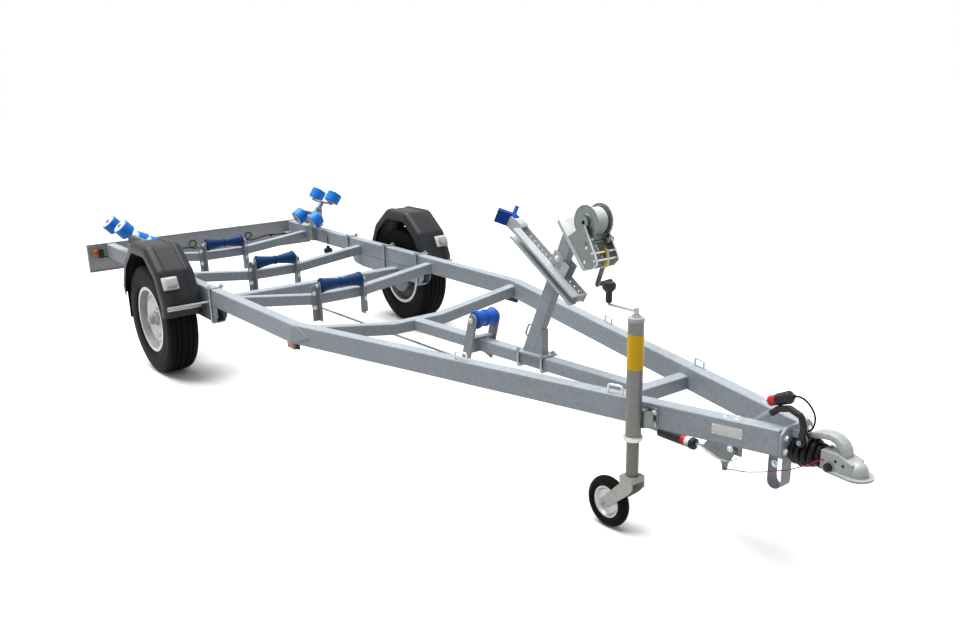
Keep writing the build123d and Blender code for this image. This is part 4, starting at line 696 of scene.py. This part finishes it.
ropeFacts = {"turns": 6, "first": -37.5, "pitch": 12.5,
             "turn": [(45, 0.1), (50.5, 0.7), (54, 2.8), (56, 6.2), (54, 9.6), (50.5, 11.7)]}
turns = []
for k in range(ropeFacts["turns"]):
    start = ropeFacts["first"] + ropeFacts["pitch"] * k
    turns += [(r, start + s) for r, s in ropeFacts["turn"]]
wound = spun([(26.6, -37.6)] + turns + [(45, 37.4), (26.6, 37.6)], onWinch(*winch["drum"], 0), (0, 1, 0), 56)
settle(wound, "rope_turns", rope, bodyOf("winch_rope"), 50)
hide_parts("winch_rope")

rings = []
for face in both:                    # pressed rings and hub washers on the drum's flanges
    seat = onWinch(*winch["drum"], face * winch["ringY"])
    rings.append(spun([(62, 0), (64, 1.3), (68.5, 1.3), (70.4, 0)], seat, (0, face, 0), 48))
    rings.append(spun([(27, 0), (28, 2.2), (34, 2.2), (36, 0)], seat, (0, face, 0), 36))
settle(joined(rings), "flange_rings", greenZinc, bodyOf("winch_drum"), 30)

# winch plates, with spots along and above the winch's plate
cheek = {"base": [(-132, -62), (-132, 62), (124, 62), (124, -62)], "baseThick": 0.006,
         "y": 61, "thick": 0.004,
         "outline": [(-42, 0.4), (-34, 60), (-28, 99), (-22, 115), (20, 106), (65, 96), (118, 87), (140, 77),
                     (143, 40), (127, 4), (118, 0.4)],
         "flangeY": 58,
         "flange": [(-131, -6.4), (-131, -17), (-124, -20), (112, -20), (123, -12), (123, -6.4)],
         "lipY": 57, "lip": [(-22, 114), (20, 105), (65, 95), (118, 86), (140, 76), (142, 40), (126, 6)]}
baseDown = (-cheek["baseThick"] * math.sin(fall), 0, -cheek["baseThick"] * math.cos(fall))
# the base plate is near-white as a painted highlight for its lit top face; the cheeks of the same plated
# frame stay darker
plates = [paint(slab([onWinch(a, 0, y) for a, y in cheek["base"]], baseDown, 0.0015), brightZinc)]
for side in both:
    push = (0, side * cheek["thick"], 0)
    outline = [onWinch(a, h, side * cheek["y"]) for a, h in cheek["outline"]]
    plates.append(paint(slab(outline, push, 0.001), winchZinc))
    flange = [onWinch(a, h, side * cheek["flangeY"]) for a, h in cheek["flange"]]
    plates.append(paint(slab(flange, push, 0.001), zinc))
settle(joined(plates), "winch_cheeks", None, bodyOf("winch_frame"), 30)
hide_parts("winch_frame")

# bright strips along the cheeks' front edges are a painted highlight on those edges; the tie rods and small
# bolts join them
lips = []
for side in both:
    edge = [onWinch(a, h, side * cheek["lipY"]) for a, h in cheek["lip"]]
    lips.append(paint(swept(edge, (0, side * 0.0085, 0), 0.002, 0.0005), brightZinc))
for a, h in ((94, 84), (124, 74)):   # tie rods
    rod = spun([(0, -70), (3.8, -70), (3.8, 70), (0, 70)], onWinch(a, h, 0), (0, 1, 0), 16)
    lips.append(paint(rod, brightZinc))
for a, h in ((58, 70), (98, 22)):    # small bolts on the cheeks
    for side in both:
        lips.append(paint(copied(smallBolt, onWinch(a, h, side * 62.4), (0, side, 0), 0.3), brightZinc))
settle(joined(lips), "winch_rods", None, bodyOf("winch_frame"), 35)

# pawl, ratchet plate and spring
ratchet = {"teeth": 14, "along": 76, "above": 56, "root": 21, "tip": 26, "lead": 0.1,
           "pawl": [(78, 88), (94, 96), (108, 88), (132, 74), (148, 52), (146, 36), (130, 34), (120, 48),
                    (98, 62), (82, 70)],
           "coils": 8, "coilPitch": 4, "coil": [(6.2, 0), (8.4, 1.2), (8.4, 2.4), (6.2, 3.6)]}
pawl = slab([onWinch(a, h, 2) for a, h in ratchet["pawl"]], (0, 0.016, 0), 0.003)
teeth = []
for k in range(ratchet["teeth"]):
    turn = 2 * math.pi * k / ratchet["teeth"]
    for r, at in ((ratchet["root"], turn), (ratchet["tip"], turn + ratchet["lead"])):
        teeth.append((ratchet["along"] + r * math.cos(at), ratchet["above"] + r * math.sin(at)))
wheelPlate = slab([onWinch(a, h, 22) for a, h in teeth], (0, 0.007, 0), 0.0008)
coils = []
for k in range(ratchet["coils"]):
    coils += [(r, ratchet["coilPitch"] * k + s) for r, s in ratchet["coil"]]
spring = spun([(4, 0)] + coils + [(4, 32)], onWinch(54, 84, 46), (0.35, 0.25, 0.9), 18)
settle(joined([paint(pawl, brass), paint(wheelPlate, brass), paint(spring, zinc)]), "winch_pawl", None,
       bodyOf("winch_frame"), 35)

# the crank's grip, as long and as thick as the solid that it stands for
low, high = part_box("crank_grip")
middle = (Vector(low) + Vector(high)) / 2
half = (high[1] - low[1]) * 500
thick = min(high[0] - low[0], high[2] - low[2]) / 2 * 1000
gripLine = [(0, -half), (thick * 0.6, -half), (thick * 0.72, -half + 3), (thick * 0.78, -half * 0.3),
            (thick * 0.95, half * 0.5), (thick * 0.98, half - 6), (thick * 0.85, half - 1.5), (0, half)]
gripPiece = spun(gripLine, middle, (0, 1, 0), 30)
settle(gripPiece, "crank_handle", black, bodyOf("crank_grip"), 35)
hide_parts("crank_grip")

# clamp plate on the winch post
armClamp = {"tilt": 31.4, "seat": (2543, -20.4, 945), "half": (34, 30), "thick": 0.006}
tilt = math.radians(armClamp["tilt"])
along, up = Vector((math.cos(tilt), 0, -math.sin(tilt))), Vector((math.sin(tilt), 0, math.cos(tilt)))
seat = mm(*armClamp["seat"])
wide, tall = armClamp["half"]
rows = [(-wide, -tall), (wide, -tall), (wide, tall), (-wide, tall)]
plate = slab([seat + along * a / 1000 + up * b / 1000 for a, b in rows], (0, -armClamp["thick"], 0), 0.0012)
nut = copied(bolt, seat + Vector((0, -0.0064, 0)) + up * 0.006, (0, -1, 0), 0.2)
settle(joined([paint(plate, paleSteel), paint(nut, brightZinc)]), "arm_clamp", None, "chassis", 30)
print("winch done")

# overrun body between the drawbar rails
hitch = {"z": 462, "front": 3785, "head": 3903}
rail = {"x": 1375, "y": 731, "slope": 0.267112}


def barFace(x):                      # from the middle to the outer face of a drawbar rail
    return rail["y"] - (x - rail["x"]) * rail["slope"]


overrun = {"rear": 3520, "tube": [(28.4, 0), (33, 0), (33, 210), (28.4, 212), (28.4, 264.5)],
           "endPlate": [(-91, 440), (-91, 528), (-65, 550), (65, 550), (91, 528), (91, 440), (40, 426),
                        (-40, 426)],
           "underPlate": [(3548, -86), (3640, -61), (3640, 61), (3548, 86)],
           "strap": [(3692, 462), (3692, 312), (3696, 298), (3706, 289), (3721, 286), (3736, 289),
                     (3746, 298), (3750, 312), (3750, 462)],
           "ear": [(3783, 512), (3822, 512), (3822, 499), (3850, 499), (3850, 518), (3836, 541), (3783, 541)],
           "pin": [(0, 0), (9, 0), (9, 4), (6, 4), (6, 33), (0, 33)]}
parts = [spun(overrun["tube"], mm(overrun["rear"], 0, hitch["z"]), (1, 0, 0), 40),
         slab([mm(3771.4, y, z) for y, z in overrun["endPlate"]], (0.0136, 0, 0), 0.002),
         slab([mm(x, y, 446) for x, y in overrun["underPlate"]], (0, 0, 0.008), 0.0015),
         swept([mm(x, -30, z) for x, z in overrun["strap"]], (0, 0.060, 0), 0.006, 0.0012),
         slab([mm(x, -39.5, z) for x, z in overrun["ear"]], (0, 0.0065, 0), 0.0012),
         box((3522, -17, 352), (3562, -9, 446), 0.0015),
         spun(overrun["pin"], mm(3835, -67, 508), (0, 1, 0), 20)]
housing = [paint(part, steel) for part in parts]
for x in (3563, 3606):
    for side in both:
        head = copied(bolt, mm(x, side * (barFace(x) - 31), 542.2), (0, 0, 1), 0.5)
        housing.append(paint(head, brightZinc))
for y in (-66, 66):
    for z in (462, 512):
        housing.append(paint(copied(bolt, mm(3785.2, y, z), (1, 0, 0), 0.2), brightZinc))
housing.append(paint(copied(bolt, mm(3721, -30.5, 384), (0, -1, 0), 0.2), brightZinc))
housing = settle(joined(housing), "overrun_body", None, bodyOf("overrun_housing"), 35)
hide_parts("overrun_housing")

# folded boot between the overrun body and the coupling's head
boot = {"radii": [60, 62, 58, 52, 44], "neck": 44, "waist": 0.78, "flank": 0.94, "crumple": 0.016,
        "folds": 0.045}
step = (hitch["head"] - 0.5 - hitch["front"] - 0.5) / len(boot["radii"])
profile = [(25.5, 0), (boot["neck"], 0)]
for k, r in enumerate(boot["radii"]):
    start, flank = k * step, r * boot["flank"]
    profile += [(r * boot["waist"], start + 0.6), (flank, start + step * 0.16), (r, start + step * 0.38),
                (r, start + step * 0.62), (flank, start + step * 0.84)]
length = len(boot["radii"]) * step
profile += [(32, length), (25.5, length)]
bellows = spun(profile + [profile[0]], mm(hitch["front"] + 0.6, 0, hitch["z"]), (1, 0, 0), 56)
folds = bpy.data.textures.new("folds", "CLOUDS")
folds.noise_scale = boot["folds"]
crumple = bellows.modifiers.new("crumple", "DISPLACE")
crumple.texture = folds
crumple.texture_coords = "GLOBAL"
crumple.strength = boot["crumple"]
crumple.mid_level = 0.5
smooth = bellows.modifiers.new("smooth", "SUBSURF")
smooth.levels = smooth.render_levels = 1
settle(bellows, "overrun_boot", bootRubber, bodyOf("bellows"), 60)
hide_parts("bellows")

# the coupling's release handle, with its sides turned down
release = {"top": [(3849, 532), (3862, 541), (3888, 549), (3924, 553), (3950, 548), (3972, 534), (3986, 514),
                   (3990, 492), (3986, 476)],
           "inside": [(3856, 528), (3888, 536), (3924, 540), (3944, 534), (3962, 522), (3973, 508),
                      (3976, 492), (3972, 478)]}
top = swept([mm(x, -19, z) for x, z in release["top"]], (0, 0.038, 0), 0.0115, 0.003)
handle = [paint(top, paleSteel)]
for y in (-19, 15.5):
    outline = [mm(x, y, z) for x, z in release["top"][1:] + release["inside"][::-1]]
    handle.append(paint(slab(outline, (0, 0.0035, 0), 0.0008), paleSteel))
handlePiece = settle(joined(handle), "release_handle", None, bodyOf("coupling_handle"), 40)
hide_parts("coupling_handle")

# lobed knob, pads and button on the coupling's head
knobFacts = {"x": 3938, "z": 446, "lobes": 12, "lobe": ((-0.24, 12.5), (-0.12, 15), (0.12, 15), (0.24, 12.5))}
lobes = []
for k in range(knobFacts["lobes"]):
    turn = 2 * math.pi * k / knobFacts["lobes"]
    lobes += [(r * math.cos(turn + share), r * math.sin(turn + share)) for share, r in knobFacts["lobe"]]
knob = slab([mm(knobFacts["x"] + a, -34, knobFacts["z"] + b) for a, b in lobes], (0, -0.014, 0), 0.0012)
pad = spun([(0, 0), (9, 0), (9, 3), (5, 4), (0, 4)], mm(knobFacts["x"], -48, knobFacts["z"]), (0, -1, 0), 20)
studs = [spun([(0, 0), (5.5, 0), (5.5, 0.8), (4.5, 1.2), (0, 1.2)], mm(x, y, z), (0, -1, 0), 16)
         for x, y, z in ((3962, -34.6, 474), (3992, -36, 466))]
button = spun([(0, 0), (11, 0), (11, 9), (9, 12), (0, 12)], mm(3912, 16, 490), (-0.2, 0, 1), 20)
fittings = [paint(knob, black), paint(pad, black), paint(button, greenZinc)]
fittings += [paint(stud, black) for stud in studs]
settle(joined(fittings), "head_fittings", None, bodyOf("coupling_head"), 30)

stalkSpots = [mm(x, -59, z) for x, z in ((3622, 508), (3640, 529), (3668, 555), (3700, 582))]
stalk = swept(stalkSpots, (0, 0.016, 0), 0.017, 0.003)
settle(stalk, "lever_stalk", paleSteel, bodyOf("handbrake_lever"), 30)

# sleeve round the damper under the drawbar, and the strap in front of it
damper = {"x": 3165, "y": -22, "z": 338,
          "bands": [(black, [(21.2, 2), (21.8, 2), (21.8, 120), (21.2, 120)]),
                    (red, [(21.2, 120), (22, 120), (22, 140), (21.2, 140)]),
                    (white, [(21.2, 140), (22, 140), (22, 162), (21.2, 162)]),
                    (black, [(9, 186), (17, 186), (23, 182), (24, 166), (21.2, 162)])],
          "strap": [(3372, 347), (3416, 338), (3475, 323), (3512, 326), (3548, 341), (3557, 356)]}
end = mm(damper["x"], damper["y"], damper["z"])
sleeve = [paint(spun(band, end, (1, 0, 0), 32), finish) for finish, band in damper["bands"]]
strap = swept([mm(x, -46, z) for x, z in damper["strap"]], (0, 0.024, 0), 0.004, 0.001)
sleeve.append(paint(strap, brightZinc))
sleeve.append(paint(copied(bolt, mm(3526, -36.6, 380), (0, -1, 0), 0.2), brightZinc))
settle(joined(sleeve), "damper_sleeve", None, bodyOf("brake_linkage"), 35)

# blank plate riveted to the right-hand drawbar rail
tag = {"spots": [(3530, 476), (3644, 476), (3644, 517), (3530, 517)],
       "rivets": [(3536, 481), (3638, 481), (3638, 512), (3536, 512)], "rivetSize": 0.42}
turn = math.atan(rail["slope"])
outward = Vector((-math.sin(turn), -math.cos(turn), 0))
tagSpots = [mm(x, -barFace(x), z) + outward * 0.0004 for x, z in tag["spots"]]
tagPieces = [paint(slab(tagSpots, outward * 0.001, 0.0003), plateMetal)]
for x, z in tag["rivets"]:
    rivet = copied(smallBolt, mm(x, -barFace(x), z) + outward * 0.0012, outward, 0.1, tag["rivetSize"])
    tagPieces.append(paint(rivet, brightZinc))
settle(joined(tagPieces), "blank_plate", None, "chassis", 30)
print("coupling done")

# jockey wheel: bands on its tube, and the clamp that holds it to the rail
jockey = {"x": 3266, "y": -286, "bandTurns": 48}
spot = mm(jockey["x"], jockey["y"], 0)
bands = [(yellow, [(30.3, 686), (30.9, 686), (30.9, 820), (30.3, 820)]),
         (brightZinc, [(30.3, 404), (35, 404), (37, 408), (37, 417), (34, 421), (30.3, 421)]),
         (paleSteel, [(12, 884), (30.2, 880.4), (31.2, 876), (31.2, 866), (30.3, 865)])]
tubeBands = [paint(spun(band, spot, (0, 0, 1), jockey["bandTurns"]), finish) for finish, band in bands]
settle(joined(tubeBands), "tube_bands", None, bodyOf("jockey_outer_tube"), 30)

clampFacts = {"along": (-36, 58), "thick": 0.007, "web": [(-24, -236), (28, -232), (30, -262), (-22, -266)],
              "lug": [(22, -250), (52, -232), (56, -240), (30, -262)], "boltX": 47, "boltZ": (465, 508)}
xs = [jockey["x"] + a for a in clampFacts["along"]]
inner = [mm(x, -barFace(x), 447) + outward * 0.0005 for x in xs]
outer = [corner + outward * clampFacts["thick"] for corner in reversed(inner)]
clamp = slab(inner + outer, (0, 0, 0.080), 0.0012)
web = slab([mm(jockey["x"] + a, y, 450) for a, y in clampFacts["web"]], (0, 0, 0.072), 0.002)
lug = slab([mm(jockey["x"] + a, y, 452) for a, y in clampFacts["lug"]], (0, 0, 0.066), 0.0012)
fixings = [paint(clamp, greenZinc), paint(web, greenZinc), paint(lug, greenZinc)]
x = jockey["x"] + clampFacts["boltX"]
for z in clampFacts["boltZ"]:
    head = copied(bolt, mm(x, -barFace(x), z) + outward * 0.0078, outward, 0.3)
    fixings.append(paint(head, brightZinc))
clampPiece = settle(joined(fixings), "jockey_clamp", None, bodyOf("jockey_bracket"), 30)
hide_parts("jockey_bracket")

# bolts on the roller brackets, cable clips and a fitting that hangs under the far rail
bracket = {"x": (-1165, -345, 524), "front": 36.6, "y": 170, "z": (455, 368), "side": (52.3, 155, 500),
           "nose": (1985, 82, 566)}
ahead, sideY, sideZ = bracket["side"]
rows = []
for x in bracket["x"]:
    for side in both:
        rows += [(mm(x + bracket["front"], side * bracket["y"], z), (1, 0, 0)) for z in bracket["z"]]
        rows.append((mm(x + ahead, side * sideY, sideZ), (0, side, 0)))
x, y, z = bracket["nose"]
rows += [(mm(x, side * y, z), (0, side, 0)) for side in both]
boltSet("bracket_bolts", rows, brightZinc, "chassis")

clips = []
for y, z in ((-706, 437), (-492, 452), (-326, 466), (-20, 434), (232, 446), (520, 446), (700, 442)):
    clips.append(paint(box((-1439, y - 9, z - 8), (-1424, y + 9, z + 8), 0.003, 3), black))
hangingLine = [(0, 0), (3, 0), (3, 70), (9, 72), (14, 76), (15, 88), (30, 94), (33, 102), (33, 118),
               (28, 124), (0, 124)]
hanging = spun(hangingLine, mm(-790, 668, 505), (-0.04, 0, -1), 24)
clips.append(paint(hanging, black))
settle(joined(clips), "cable_clips", None, "chassis", 35)
print("small parts done")


# studio
def lightPath(tree, names):
    path = tree.nodes.new("ShaderNodeLightPath")
    total = None
    for name in names:
        if total is None:
            total = path.outputs[name]
            continue
        add = tree.nodes.new("ShaderNodeMath")
        add.operation = "ADD"
        add.use_clamp = True
        tree.links.new(total, add.inputs[0])
        tree.links.new(path.outputs[name], add.inputs[1])
        total = add.outputs[0]
    return total


studio = {"sky": 0.44, "skySeen": 1.0, "floorSeen": 0.97, "floorBounce": 0.18, "floorWide": 60, "sun": 4.6,
          "sunSpread": 0.85, "sunTurn": (5, -13, 0)}
seen = ("Is Camera Ray", "Is Glossy Ray", "Is Transmission Ray")
world = bpy.data.worlds.new("studio")
bpy.context.scene.world = world
world.use_nodes = True
tree = world.node_tree
tree.nodes.clear()
sky = tree.nodes.new("ShaderNodeBackground")
sky.inputs[0].default_value = (1, 1, 1, 1)
out = tree.nodes.new("ShaderNodeOutputWorld")
strength = tree.nodes.new("ShaderNodeMapRange")
strength.inputs[3].default_value = studio["sky"]
strength.inputs[4].default_value = studio["skySeen"]
tree.links.new(lightPath(tree, seen), strength.inputs[0])
tree.links.new(strength.outputs[0], sky.inputs[1])
tree.links.new(sky.outputs[0], out.inputs[0])

deselect()
bpy.ops.mesh.primitive_plane_add(size=studio["floorWide"], location=(0, 0, 0))
floor = bpy.context.object
floor.name = "floor"
floorLook = bpy.data.materials.new("floor")
floorLook.use_nodes = True
tree = floorLook.node_tree
tree.nodes.clear()
matt = tree.nodes.new("ShaderNodeBsdfDiffuse")
tone = tree.nodes.new("ShaderNodeMix")
tone.data_type = "RGBA"
tone.inputs[6].default_value = (studio["floorBounce"],) * 3 + (1,)
tone.inputs[7].default_value = (studio["floorSeen"],) * 3 + (1,)
tree.links.new(lightPath(tree, seen), tone.inputs[0])
tree.links.new(tone.outputs[2], matt.inputs[0])
out = tree.nodes.new("ShaderNodeOutputMaterial")
tree.links.new(matt.outputs[0], out.inputs[0])
floor.data.materials.append(floorLook)

sun = bpy.data.lights.new("key", "SUN")
sun.energy = studio["sun"]
sun.angle = studio["sunSpread"]
key = bpy.data.objects.new("key", sun)
key.rotation_euler = [math.radians(turn) for turn in studio["sunTurn"]]
bpy.context.scene.collection.objects.link(key)
bpy.context.scene.view_settings.view_transform = "Standard"

for source in (bolt, smallBolt):
    bpy.data.objects.remove(source, do_unlink=True)
